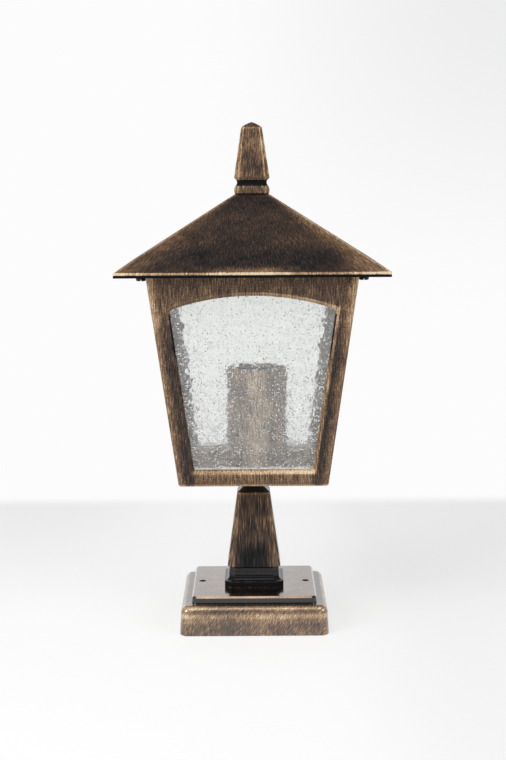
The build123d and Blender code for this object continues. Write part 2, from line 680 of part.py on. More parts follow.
stud_foot = ROOF_TOP_Z + STUD_IN_FINIAL - STUD_LENGTH
with BuildPart() as finial_stud:
    with BuildSketch(Plane.XY.offset(stud_foot)):
        Circle(STUD / 2)
    extrude(amount=STUD_LENGTH)
save(finial_stud, "finial_stud")
stud_washer_z = ROOF_CEILING_Z - WASHER_THICKNESS
save(flat_ring(stud_washer_z, STUD_WASHER, STUD + 2 * ROD_PLAY, WASHER_THICKNESS), "finial_washer")
save(hex_nut(stud_washer_z - STUD_NUT_HEIGHT, STUD_NUT, STUD_NUT_HEIGHT, STUD + 2 * STUD_PLAY), "finial_nut")

# Lamp sleeve: stands loose on the floor round the lampholder
with BuildPart() as lamp_sleeve:
    with BuildSketch(Plane.XY.offset(FLOOR_Z)):
        with Locations((SLEEVE_SHIFT, 0)):
            Circle(SLEEVE / 2)
            Circle(SLEEVE / 2 - SLEEVE_WALL, mode=Mode.SUBTRACT)
    extrude(amount=SLEEVE_HEIGHT)
    fillet(lamp_sleeve.faces().sort_by(Axis.Z)[-1].outer_wire().edges(), SLEEVE_LIP_ROUND)
save(lamp_sleeve, "lamp_sleeve")

# Lampholder: a cap screwed on the rod, a skirt, a ceramic insert and the stepped shell that takes the lamp
holder_radius = HOLDER / 2
insert_radius = holder_radius - HOLDER_WALL - INSERT_PLAY
cap_bore = INSERT_RECESS / 2
with BuildPart() as lampholder_cap:
    with BuildSketch(Plane.XZ):
        with BuildLine():
            Polyline(
                (ROD / 2 + ROD_NUT_PLAY, CAP_Z),
                (HOLDER_BUSH / 2, CAP_Z),
                (HOLDER_BUSH / 2, CAP_Z + HOLDER_BUSH_HEIGHT / 2),
            )
            dome_foot = (HOLDER_BUSH / 2, CAP_Z + HOLDER_BUSH_HEIGHT / 2)
            dome_rim = (holder_radius, INSERT_Z - HOLDER_RIM_HEIGHT)
            RadiusArc(dome_foot, dome_rim, holder_radius)
            Polyline(
                dome_rim,
                (holder_radius, INSERT_Z),
                (cap_bore, INSERT_Z),
                (cap_bore, INSERT_Z - HOLDER_RIM_HEIGHT),
                (HOLDER_BUSH / 2, ROD_TOP_Z),
                (ROD / 2 + ROD_NUT_PLAY, ROD_TOP_Z),
                (ROD / 2 + ROD_NUT_PLAY, CAP_Z),
            )
        make_face()
    revolve(axis=Axis.Z)
save(lampholder_cap, "lampholder_cap")

with BuildPart() as lampholder_skirt:
    with BuildSketch(Plane.XY.offset(INSERT_Z)):
        Circle(holder_radius)
        Circle(holder_radius - HOLDER_WALL, mode=Mode.SUBTRACT)
    extrude(amount=SHELL_TOP_Z - INSERT_Z)
    with BuildSketch(Plane.XY.offset(SHELL_TOP_Z)):
        Circle(holder_radius)
        Circle(HOLDER_LIP_BORE / 2, mode=Mode.SUBTRACT)
    extrude(amount=HOLDER_LIP)
save(lampholder_skirt, "lampholder_skirt")

with BuildPart() as lampholder_insert:
    with BuildSketch(Plane.XY.offset(INSERT_Z)):
        Circle(insert_radius)
    extrude(amount=INSERT_HEIGHT)
    with BuildSketch(Plane.XY.offset(INSERT_Z)):
        Circle(INSERT_RECESS / 2)
    extrude(amount=RECESS_Z - INSERT_Z, mode=Mode.SUBTRACT)
    with BuildSketch(Plane.XY.offset(RECESS_Z)):
        Circle(BUSH / 2 + CONTACT_PLAY)
        with Locations((TERMINAL_OFFSET, 0)):
            Circle(SHELL_SCREW / 2 + SMALL_PLAY)
    extrude(amount=INSERT_FLOOR, mode=Mode.SUBTRACT)
save(lampholder_insert, "lampholder_insert")

with BuildPart() as screw_shell:
    shell_radius = SHELL_BORE / 2 + SHELL_WALL
    with BuildSketch(Plane.XZ):
        with BuildLine():
            Polyline(
                (SHELL_BASE_HOLE / 2, SHELL_Z),
                (shell_radius - SHELL_STEP, SHELL_Z),
                (shell_radius - SHELL_STEP, SHELL_Z + SHELL_STEP_HEIGHT - SHELL_WALL),
                (shell_radius, SHELL_Z + SHELL_STEP_HEIGHT - SHELL_WALL),
                (shell_radius, SHELL_TOP_Z),
                (SHELL_BORE / 2, SHELL_TOP_Z),
                (SHELL_BORE / 2, SHELL_Z + SHELL_STEP_HEIGHT),
                (SHELL_BORE / 2 - SHELL_STEP, SHELL_Z + SHELL_STEP_HEIGHT),
                (SHELL_BORE / 2 - SHELL_STEP, SHELL_Z + SHELL_WALL),
                (SHELL_BASE_HOLE / 2, SHELL_Z + SHELL_WALL),
                close=True,
            )
        make_face()
    revolve(axis=Axis.Z)
    with BuildSketch(Plane.XY.offset(SHELL_Z)):
        with Locations((TERMINAL_OFFSET, 0)):
            Circle(SHELL_SCREW / 2 + SMALL_PLAY)
    extrude(amount=SHELL_WALL, mode=Mode.SUBTRACT)
save(screw_shell, "screw_shell")

# Contacts: a screw ties the shell to the neutral terminal, and a sprung pin slides in the line terminal
with BuildPart() as shell_screw:
    with BuildSketch(Plane.XY.offset(SHELL_Z + SHELL_WALL)):
        with Locations((TERMINAL_OFFSET, 0)):
            Circle(SHELL_SCREW_HEAD / 2)
    extrude(amount=SHELL_SCREW_HEAD_HEIGHT)
    with BuildSketch(Plane.XY.offset(RECESS_Z - TERMINAL_HEIGHT / 2)):
        with Locations((TERMINAL_OFFSET, 0)):
            Circle(SHELL_SCREW / 2)
    extrude(amount=SHELL_Z + SHELL_WALL - RECESS_Z + TERMINAL_HEIGHT / 2)
save(shell_screw, "shell_screw")

with BuildPart() as neutral_terminal:
    with BuildSketch(Plane.XY.offset(RECESS_Z - TERMINAL_HEIGHT)):
        with Locations((TERMINAL_OFFSET, 0)):
            Rectangle(TERMINAL_WIDTH, TERMINAL_WIDTH)
    extrude(amount=TERMINAL_HEIGHT)
    with BuildSketch(Plane.XY.offset(RECESS_Z - TERMINAL_HEIGHT / 2)):
        with Locations((TERMINAL_OFFSET, 0)):
            Circle(SHELL_SCREW / 2 + SMALL_PLAY)
    extrude(amount=TERMINAL_HEIGHT / 2, mode=Mode.SUBTRACT)
save(neutral_terminal, "neutral_terminal")

with BuildPart() as line_terminal:
    with BuildSketch(Plane.XY.offset(RECESS_Z)):
        Circle(BUSH / 2)
    extrude(amount=INSERT_FLOOR)
    with BuildSketch(Plane.XY.offset(RECESS_Z - BUSH_FLANGE_HEIGHT)):
        Circle(BUSH / 2 + BUSH_FLANGE_HEIGHT)
        with Locations((-TERMINAL_OFFSET / 2, 0)):
            Rectangle(TERMINAL_OFFSET, TERMINAL_WIDTH)
        with Locations((-TERMINAL_OFFSET, 0)):
            Circle(TERMINAL_WIDTH / 2)
    extrude(amount=BUSH_FLANGE_HEIGHT)
    with BuildSketch(Plane.XY.offset(RECESS_Z - BUSH_FLANGE_HEIGHT)):
        Circle(CONTACT_PIN / 2 + CONTACT_PLAY)
    extrude(amount=INSERT_FLOOR + BUSH_FLANGE_HEIGHT, mode=Mode.SUBTRACT)
save(line_terminal, "line_terminal")

pin_foot = RECESS_Z - BUSH_FLANGE_HEIGHT - SMALL_PLAY - CONTACT_END_HEIGHT
head_foot = SHELL_Z + CONTACT_LIFT
with BuildPart() as centre_contact:
    with BuildSketch(Plane.XY.offset(pin_foot)):
        Circle(CONTACT_PIN / 2)
    extrude(amount=head_foot - pin_foot)
    with BuildSketch(Plane.XY.offset(pin_foot)):
        Circle(CONTACT_END / 2)
    extrude(amount=CONTACT_END_HEIGHT)
    with BuildSketch(Plane.XY.offset(head_foot)):
        Circle(CONTACT_HEAD / 2)
    extrude(amount=CONTACT_HEAD_HEIGHT)
    fillet(centre_contact.edges().sort_by(Axis.Z)[-1], CONTACT_HEAD_HEIGHT / 2)
save(centre_contact, "centre_contact")

with BuildPart() as contact_spring:
    with BuildSketch(Plane.XZ):
        top_radius = CONTACT_PIN / 2 + 2 * SMALL_PLAY
        foot_radius = CONTACT_SPRING_FOOT / 2
        with BuildLine():
            Polyline(
                (top_radius, head_foot),
                (foot_radius - CONTACT_SPRING_WALL, SHELL_Z),
                (foot_radius, SHELL_Z),
                (top_radius + CONTACT_SPRING_WALL, head_foot),
                close=True,
            )
        make_face()
    revolve(axis=Axis.Z)
save(contact_spring, "contact_spring")

# Supply terminals: a three-pole block under the plinth top, with barrels, clamp screws and two fixing screws
poles = [(index - (POLE_COUNT - 1) / 2) * POLE_SPACING for index in range(POLE_COUNT)]
fixings = [x + POLE_SPACING / 2 for x in poles[:-1]]
clamps = [(x, BLOCK_OFFSET + way * POLE_SCREW_SPACING / 2) for x in poles for way in (-1, 1)]
block_back = Plane.XZ.offset(-BLOCK_OFFSET - BLOCK_DEPTH / 2)
barrel_back = Plane.XZ.offset(-BLOCK_OFFSET - BARREL_LENGTH / 2)

with BuildPart() as terminal_block:
    with BuildSketch(Plane.XY.offset(BLOCK_Z)):
        with Locations((0, BLOCK_OFFSET)):
            RectangleRounded(BLOCK_LENGTH, BLOCK_DEPTH, BLOCK_ROUND)
    extrude(amount=BLOCK_HEIGHT)
    with BuildSketch(block_back):
        with Locations(*[(x, POLE_Z) for x in poles]):
            Circle(BARREL / 2 + SMALL_PLAY)
    extrude(amount=BLOCK_DEPTH, mode=Mode.SUBTRACT)
    with BuildSketch(Plane.XY.offset(BLOCK_Z)):
        with Locations(*clamps):
            Circle(POLE_SCREW / 2 + SMALL_PLAY)
    extrude(amount=POLE_Z - BLOCK_Z, mode=Mode.SUBTRACT)
    with BuildSketch(Plane.XY.offset(BLOCK_Z)):
        with Locations(*[(x, BLOCK_OFFSET) for x in fixings]):
            Circle(BLOCK_SCREW / 2 + SMALL_PLAY)
    extrude(amount=BLOCK_HEIGHT, mode=Mode.SUBTRACT)
save(terminal_block, "terminal_block")

with BuildPart() as terminal_barrels:
    with BuildSketch(barrel_back):
        with Locations(*[(x, POLE_Z) for x in poles]):
            Circle(BARREL / 2)
            Circle(BARREL_BORE / 2, mode=Mode.SUBTRACT)
    extrude(amount=BARREL_LENGTH)
    with BuildSketch(Plane.XY.offset(BLOCK_Z)):
        with Locations(*clamps):
            Circle(POLE_SCREW / 2 + SMALL_PLAY)
    extrude(amount=POLE_Z - BLOCK_Z, mode=Mode.SUBTRACT)
save(terminal_barrels, "terminal_barrels")

with BuildPart() as terminal_screws:
    with BuildSketch(Plane.XY.offset(BLOCK_Z + SMALL_PLAY)):
        with Locations(*clamps):
            Circle(POLE_SCREW / 2)
    extrude(amount=POLE_Z - LEAD / 2 - BLOCK_Z - 2 * SMALL_PLAY)
save(terminal_screws, "terminal_screws")

with BuildPart() as terminal_block_screws:
    with BuildSketch(Plane.XY.offset(BLOCK_Z)):
        with Locations(*[(x, BLOCK_OFFSET) for x in fixings]):
            Circle(BLOCK_SCREW / 2)
    extrude(amount=BLOCK_HEIGHT + BLOCK_SCREW_GRIP)
    with BuildSketch(Plane.XY.offset(BLOCK_Z)):
        with Locations(*[(x, BLOCK_OFFSET) for x in fixings]):
            Circle(BLOCK_SCREW_HEAD / 2)
    extrude(amount=-BLOCK_SCREW_HEAD_HEIGHT)
save(terminal_block_screws, "terminal_block_screws")

# Earth screw in its boss, with a washer under the head
earth_seat = CEILING_Z - EARTH_BOSS_HEIGHT
with BuildPart() as earth_washer:
    with BuildSketch(Plane.XY.offset(earth_seat)):
        with Locations((EARTH_X, EARTH_Y)):
            Circle(EARTH_WASHER / 2)
            Circle(EARTH_SCREW / 2 + SMALL_PLAY, mode=Mode.SUBTRACT)
    extrude(amount=-EARTH_WASHER_THICKNESS)
save(earth_washer, "earth_washer")

with BuildPart() as earth_screw:
    earth_head = earth_seat - EARTH_WASHER_THICKNESS
    with BuildSketch(Plane.XY.offset(earth_head)):
        with Locations((EARTH_X, EARTH_Y)):
            Circle(EARTH_HEAD / 2)
    extrude(amount=-EARTH_HEAD_HEIGHT)
    with BuildSketch(Plane.XY.offset(earth_head)):
        with Locations((EARTH_X, EARTH_Y)):
            Circle(EARTH_SCREW / 2)
    extrude(amount=EARTH_SCREW_LENGTH)
save(earth_screw, "earth_screw")

# Leads: from a barrel, down and up through the rod, to the lampholder's terminals
lead_ends = {
    "line_lead": (-1, RECESS_Z - BUSH_FLANGE_HEIGHT),
    "neutral_lead": (1, RECESS_Z - TERMINAL_HEIGHT),
}
for name, (way, top) in lead_ends.items():
    entry = BLOCK_OFFSET - BARREL_LENGTH / 2
    pole = way * POLE_SPACING
    route = [
        (pole, entry + LEAD_TAIL, POLE_Z),
        (pole, entry - LEAD_TAIL, POLE_Z),
        (way * (LEAD_OFFSET + LEAD_TAIL), 2 * LEAD_TAIL, LEAD_LOW),
        (way * LEAD_OFFSET, 0, LEAD_LOW),
        (way * LEAD_OFFSET, 0, ROD_TOP_Z + LEAD / 2),
        (way * TERMINAL_OFFSET, 0, top - LEAD_TAIL),
        (way * TERMINAL_OFFSET, 0, top),
    ]
    corners = [Vector(point) for point in route]
    radii = []
    for before, here, after in zip(corners, corners[1:], corners[2:]):
        turn = (here - before).get_angle(after - here)
        shorter = min((here - before).length, (after - here).length)
        radii.append(LEAD_BEND_SHARE * shorter / tan(radians(turn) / 2))
    print(name, "bend radii", [round(radius, 1) for radius in radii])
    with BuildPart() as lead:
        with BuildLine() as path:
            FilletPolyline(*route, radius=radii)
        with BuildSketch(Plane(origin=path.line @ 0, z_dir=path.line % 0)):
            Circle(LEAD / 2)
        sweep()
    save(lead, name)
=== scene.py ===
# %% [markdown]
# # A pedestal garden lantern
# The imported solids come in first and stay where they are. They give every casting, pane, screw and
# lampholder piece at its real size, in metres, with the front towards -Y. This lesson puts the camera
# where the photograph was taken from, lights a small studio, and then gives each piece its real finish:
# hand-rubbed bronze paint on the castings, seeded glass in the windows, bare metal and porcelain inside.

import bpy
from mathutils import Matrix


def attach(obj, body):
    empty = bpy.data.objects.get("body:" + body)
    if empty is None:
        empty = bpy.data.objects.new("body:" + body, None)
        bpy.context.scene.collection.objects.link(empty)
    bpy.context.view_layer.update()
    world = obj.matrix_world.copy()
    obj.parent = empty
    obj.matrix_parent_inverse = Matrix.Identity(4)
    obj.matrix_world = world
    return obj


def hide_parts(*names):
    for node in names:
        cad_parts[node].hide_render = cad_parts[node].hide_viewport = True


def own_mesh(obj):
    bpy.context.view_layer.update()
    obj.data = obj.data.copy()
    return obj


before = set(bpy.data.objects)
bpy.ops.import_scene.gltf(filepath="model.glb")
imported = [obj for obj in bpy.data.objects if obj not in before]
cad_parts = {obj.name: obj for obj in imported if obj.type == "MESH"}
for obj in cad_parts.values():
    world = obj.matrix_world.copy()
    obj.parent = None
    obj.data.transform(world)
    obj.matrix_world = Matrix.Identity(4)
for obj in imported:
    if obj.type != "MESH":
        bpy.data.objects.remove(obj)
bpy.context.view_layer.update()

# %% [markdown]
# ## Two small tools
# Colours are written as sRGB hex values, as a paint program shows them, but shaders add light in linear
# values, so one function converts them. Materials are built from nodes. One helper adds a node, sets its
# own properties, and sets or links its inputs, so each material below reads as a list of what happens to
# the surface.

# %% Colour and node helpers
from math import cos, pi, radians, sin

import bpy
import numpy as np
from mathutils import Matrix, Vector


def linear(code, alpha=1.0):
    """An sRGB hex colour as linear red, green, blue and alpha, by the standard sRGB curve."""
    share = np.array([int(code[i : i + 2], 16) / 255 for i in (1, 3, 5)])
    curve = np.where(share <= 0.04045, share / 12.92, ((share + 0.055) / 1.055) ** 2.4)
    return (*curve.tolist(), alpha)


def add(tree, kind, inputs=(), **settings):
    """Adds a shader node; inputs maps sockets to values or to other outputs. Returns the first output."""
    node = tree.nodes.new("ShaderNode" + kind)
    for name, value in settings.items():
        setattr(node, name, value)
    for key, value in dict(inputs).items():
        if isinstance(value, bpy.types.NodeSocket):
            tree.links.new(value, node.inputs[key])
        else:
            node.inputs[key].default_value = value
    return node.outputs[0] if node.outputs else node


def blank_material(name):
    """A new material with an empty node tree."""
    material = bpy.data.materials.new(name)
    material.use_nodes = True
    material.node_tree.nodes.clear()
    return material, material.node_tree


print("linear mid grey", round(linear("#808080")[0], 3))

# %% [markdown]
# ## Camera
# A camera can be moved by eye until the outlines agree. Here it was found by fitting the corners of the
# roof, housing and plinth to their places in the photograph, which is more exact. It stands 1.23 m in
# front of the lantern at the height of the finial, looks down by seven and a half degrees and is rolled
# a third of a degree. The long side of the sensor is the picture's height.

# %% Place the camera
CAMERA_PLACE = (0.0, -1.23, 0.356)
CAMERA_DOWN = radians(7.4675)
CAMERA_ROLL = radians(0.34)
FOCAL_PIXELS = 1542.1
PICTURE_HEIGHT = 760.0
SENSOR = 36.0

camera = bpy.data.objects.new("camera", bpy.data.cameras.new("camera"))
bpy.context.scene.collection.objects.link(camera)
camera.data.sensor_width = SENSOR
camera.data.lens = FOCAL_PIXELS / PICTURE_HEIGHT * SENSOR
turn = Matrix.Rotation(pi / 2 - CAMERA_DOWN, 4, "X") @ Matrix.Rotation(-CAMERA_ROLL, 4, "Z")
camera.matrix_world = Matrix.Translation(CAMERA_PLACE) @ turn
bpy.context.scene.camera = camera
bpy.context.scene.view_settings.view_transform = "Standard"
print("lens", round(camera.data.lens, 2), "mm")

# %% [markdown]
# ## Studio
# The lantern stands on a white table in front of a white wall, and the rest of the studio is dim. A wall
# could be built behind the table, but the world itself can be that studio: plain white where the camera,
# the glass or a mirroring metal looks at the wall, and dim elsewhere. So flat tops mirror the wall, and
# the black paint stays black. The wall falls off a little to the upper right, as it does in the
# photograph.

# %% World
# A Map Range node has the start and end of what comes in at sockets 1 and 2, and of what goes out at 3
# and 4, which is 0 to 1 unless it says otherwise. A Mix node has its numbers at sockets 2 and 3, its
# colours at 6 and 7, and the mixed colour at output 2.
SMOOTH = {"interpolation_type": "SMOOTHSTEP"}
FALLING = {3: 1.0, 4: 0.0}
COLOUR = 2
STUDIO_DIM = 0.14
WALL_WHITE = "#fcfcfc"
WALL_SHADE = "#ededed"
WALL_SIDES = {1: 0.1, 2: 0.5}
WALL_TOP = {1: 0.35, 2: 0.7}
SHADE_RIGHT = {1: -0.05, 2: 0.16}
SHADE_HIGH = {1: -0.1, 2: 0.12}

world = bpy.data.worlds.new("white_wall")
bpy.context.scene.world = world
world.use_nodes = True
sky = world.node_tree
sky.nodes.clear()
way = add(sky, "TexCoord").node.outputs["Generated"]
way_x, way_y, way_z = add(sky, "SeparateXYZ", {0: way}).node.outputs
behind = add(sky, "MapRange", {0: way_y, **WALL_SIDES}, **SMOOTH)
low = add(sky, "MapRange", {0: way_z, **WALL_TOP, **FALLING}, **SMOOTH)
wall = add(sky, "Math", {0: behind, 1: low}, operation="MULTIPLY")
studio = add(sky, "MapRange", {0: wall, 3: STUDIO_DIM, 4: 1.0})
path = add(sky, "LightPath").node.outputs
seen = add(sky, "Math", {0: path["Is Camera Ray"], 1: path["Is Transmission Ray"]}, operation="MAXIMUM")
mirrored = add(sky, "Math", {0: path["Is Glossy Ray"], 1: wall}, operation="MULTIPLY")
seen = add(sky, "Math", {0: seen, 1: mirrored}, operation="MAXIMUM")
strength = add(sky, "Mix", {0: seen, 2: studio, 3: 1.0})
right = add(sky, "MapRange", {0: way_x, **SHADE_RIGHT}, **SMOOTH)
high = add(sky, "MapRange", {0: way_z, **SHADE_HIGH}, **SMOOTH)
shade = add(sky, "Math", {0: right, 1: high}, operation="MULTIPLY")
paper = add(sky, "Mix", {0: shade, 6: linear(WALL_WHITE), 7: linear(WALL_SHADE)}, data_type="RGBA")
backdrop = add(sky, "Background", {"Color": paper.node.outputs[COLOUR], "Strength": strength})
add(sky, "OutputWorld", {"Surface": backdrop})
print("world", world.name, len(sky.nodes), "nodes")

# %% [markdown]
# ## Table
# The table is one flat face, painted matt white, and its back edge lies where the photograph's horizon
# does. A fully lit white table would need more light than the object should get. So camera, glass and
# metal see most of it as plain white, which keeps its shadow as soft and faint as an overexposed table
# shows it. Painted shade greys it a little towards the back at the sides, and a painted shadow greys it to
# the right of the lantern; its far edge fades into the wall.

# %% Table shape
TABLE_BACK = 0.483
TABLE_HALF = 2.0

corners = [(-TABLE_HALF, -TABLE_HALF, 0), (TABLE_HALF, -TABLE_HALF, 0),
           (TABLE_HALF, TABLE_BACK, 0), (-TABLE_HALF, TABLE_BACK, 0)]
table_mesh = bpy.data.meshes.new("table")
table_mesh.from_pydata(corners, [], [(0, 1, 2, 3)])
table = bpy.data.objects.new("table", table_mesh)
bpy.context.scene.collection.objects.link(table)
print("table back edge at", TABLE_BACK, "m")

# %% Table paint
# Matt paint has no sharp highlight, only patches of slightly different gloss. Their noise runs from 0 to 1
# across the table, so its scale is the number of patches along the width.
MM = 0.001
TABLE_WHITE = "#f2f2f2"
TABLE_PATCH = 160 * MM
TABLE_MATT = {3: 0.58, 4: 0.62}
GLOW_WHITE = "#ffffff"
GLOW_SHADE = "#f3f3f3"
TABLE_SHADE_BACK = {1: -0.05, 2: 0.45}
TABLE_SHADE_SIDES = {1: 0.05, 2: 0.2, 3: 0.2, 4: 1.0}
TABLE_SHADOW_RIGHT = {1: 0.02, 2: 0.16}
TABLE_SHADOW_SHARE = 0.8
TABLE_PLAIN = 0.66
TABLE_GLOW = 1.09
TABLE_FADE = 0.06

table_paint, tree = blank_material("matt_white_table")
patches = add(tree, "TexNoise", {"Scale": 2 * TABLE_HALF / TABLE_PATCH, "Detail": 3.0})
matt = add(tree, "MapRange", {0: patches, **TABLE_MATT})
lit = add(tree, "BsdfPrincipled", {"Base Color": linear(TABLE_WHITE), "Roughness": matt})
where = add(tree, "TexCoord").node.outputs["Object"]
parts = add(tree, "SeparateXYZ", {0: where}).node.outputs
# Painted shade towards the back at the sides, and a painted shadow to the right of the lantern.
far = add(tree, "MapRange", {0: parts["Y"], **TABLE_SHADE_BACK}, **SMOOTH)
beside = add(tree, "Math", {0: parts["X"]}, operation="ABSOLUTE")
beside = add(tree, "MapRange", {0: beside, **TABLE_SHADE_SIDES}, **SMOOTH)
far = add(tree, "Math", {0: far, 1: beside}, operation="MULTIPLY")
right = add(tree, "MapRange", {0: parts["X"], **TABLE_SHADOW_RIGHT}, **SMOOTH)
grey = add(tree, "Math", {0: right, 1: TABLE_SHADOW_SHARE, 2: far}, operation="MULTIPLY_ADD", use_clamp=True)
white = add(tree, "Mix", {0: grey, 6: linear(GLOW_WHITE), 7: linear(GLOW_SHADE)}, data_type="RGBA")
glow = add(tree, "Emission", {"Color": white.node.outputs[COLOUR], "Strength": TABLE_GLOW})
path = add(tree, "LightPath").node.outputs
eye = add(tree, "Math", {0: path["Is Camera Ray"], 1: path["Is Glossy Ray"]}, operation="MAXIMUM")
eye = add(tree, "Math", {0: eye, 1: path["Is Transmission Ray"]}, operation="MAXIMUM")
plain = add(tree, "Math", {0: eye, 1: TABLE_PLAIN}, operation="MULTIPLY")
surface = add(tree, "MixShader", {0: plain, 1: lit, 2: glow})
fade = add(tree, "MapRange", {0: parts["Y"], 1: TABLE_BACK - TABLE_FADE, 2: TABLE_BACK}, **SMOOTH)
fade = add(tree, "Math", {0: fade, 1: eye}, operation="MULTIPLY")
wall_glow = add(tree, "Emission", {"Color": linear(WALL_WHITE)})
surface = add(tree, "MixShader", {0: fade, 1: surface, 2: wall_glow})
add(tree, "OutputMaterial", {"Surface": surface})
table.data.materials.append(table_paint)
print(table_paint.name, len(tree.nodes), "nodes")

# %% [markdown]
# ## Softboxes
# Photographs of goods are lit by large soft lamps. Point lamps would throw hard shadows, so area lights
# stand in for them: a key light on the left, a weaker fill on the right and one above. Being large and
# near, they leave only faint shadows.

# %% Softboxes
LANTERN_MIDDLE = (0.0, 0.0, 0.2)


def softbox(name, place, width, power):
    """A square area light at a place, facing the middle of the lantern."""
    lamp = bpy.data.lights.new(name, "AREA")
    lamp.size = width
    lamp.energy = power
    box = bpy.data.objects.new(name, lamp)
    bpy.context.scene.collection.objects.link(box)
    aim = Vector(LANTERN_MIDDLE) - Vector(place)
    box.matrix_world = Matrix.Translation(place) @ aim.to_track_quat("-Z", "Y").to_matrix().to_4x4()


softbox("key_softbox", place=(-1.2, -1.3, 0.9), width=1.0, power=24.0)
softbox("fill_softbox", place=(1.3, -1.2, 0.8), width=1.0, power=13.0)
softbox("top_softbox", place=(-0.2, -0.7, 1.7), width=0.8, power=7.0)

# %% [markdown]
# ## Hand-rubbed bronze
# The castings are aluminium, sprayed near-black and then rubbed by hand with bronze paste on a dry brush.
# The paste stays on edges and high spots, lies in fine strokes along the brush's way, and hardly touches
# the hollows. It could be painted as a picture on each piece. Worked out from where a point lies, it
# needs no picture and stays right at any distance. So the finish is one number, the rub: 0 leaves the
# black coat, 1 is bare pale bronze. Each casting has its own rub, added up from marks such as edges,
# bevels and dark places.

# %% Where a point lies, and how marks add up
def square_place(tree):
    """Where a point lies on a square casting: x, y, z; out, the face's distance from the axis, which is the
    larger of the two sideways distances; side, the smaller one; corner_gap, their difference; facing, 1 on
    the front and back; and across, the signed place across the face."""
    where = add(tree, "TexCoord").node.outputs["Object"]
    x, y, z = add(tree, "SeparateXYZ", {0: where}).node.outputs
    far_x = add(tree, "Math", {0: x}, operation="ABSOLUTE")
    far_y = add(tree, "Math", {0: y}, operation="ABSOLUTE")
    out = add(tree, "Math", {0: far_x, 1: far_y}, operation="MAXIMUM")
    side = add(tree, "Math", {0: far_x, 1: far_y}, operation="MINIMUM")
    corner_gap = add(tree, "Math", {0: out, 1: side}, operation="SUBTRACT")
    facing = add(tree, "Math", {0: far_y, 1: far_x}, operation="GREATER_THAN")
    across = add(tree, "Mix", {0: facing, 2: y, 3: x})
    return {"where": where, "x": x, "y": y, "z": z, "out": out, "side": side, "across": across,
            "facing": facing, "corner_gap": corner_gap}


def rubbed(tree, base, *marks):
    """The rub: base + mask x weight + mask x weight and so on. A mask is 0 to 1; a weight above zero adds
    bronze there, and one below zero leaves the black coat."""
    for mask, weight in marks:
        base = add(tree, "Math", {0: mask, 1: weight, 2: base}, operation="MULTIPLY_ADD")
    return base


print("a rub of", 0.0, "is black paint and of", 1.0, "pale bronze")

# %% [markdown]
# ## From the rub to a surface
# Noise breaks up the rub: strokes, which are noise drawn out along the brush's way, then specks where
# paste caught on the paint's grain, and patches where the brush was fuller. A ramp turns the rub into
# colour: near-black with a cold tinge, dull brown, then pale greyish gold, because thin paste greys the
# black below it. The rub also gives the metallic share and the roughness, and strokes and specks stand
# out a little. Where the paint was varnished, a clear coat lies on top.

# %% Bronze finish from a rub value
# A real bristle is about 0.2 mm thick, and the paint's grain is as fine. The strokes are drawn 0.6 mm wide
# and the specks 0.8 mm, so that they show in the picture.
STROKE_WIDTH = 0.6 * MM
SHORT_STROKE = 5 * MM
MIDDLE_STROKE = 9 * MM
LONG_STROKE = 18 * MM
SIDE_SHIFT = 9.0 * STROKE_WIDTH
SPECK = 0.8 * MM
PATCH = 15 * MM
STREAKS = 2.3
FLECKS = 0.55
FAN_SPREAD = {3: 1.6, 4: 0.8}
METAL_FROM = 0.25
PASTE_COVER = {1: 0.2, 2: 0.9}
PASTE_ROUGHER = 0.08
PASTE_RELIEF = {"Strength": 0.25, "Distance": 0.15 * MM}
BRONZE_RAMP = (
    (0.00, "#0d0e11"),
    (0.20, "#292727"),
    (0.40, "#4a3b32"),
    (0.55, "#6c5543"),
    (0.70, "#947659"),
    (0.85, "#bb9b75"),
    (1.00, "#e1cdad"),
)


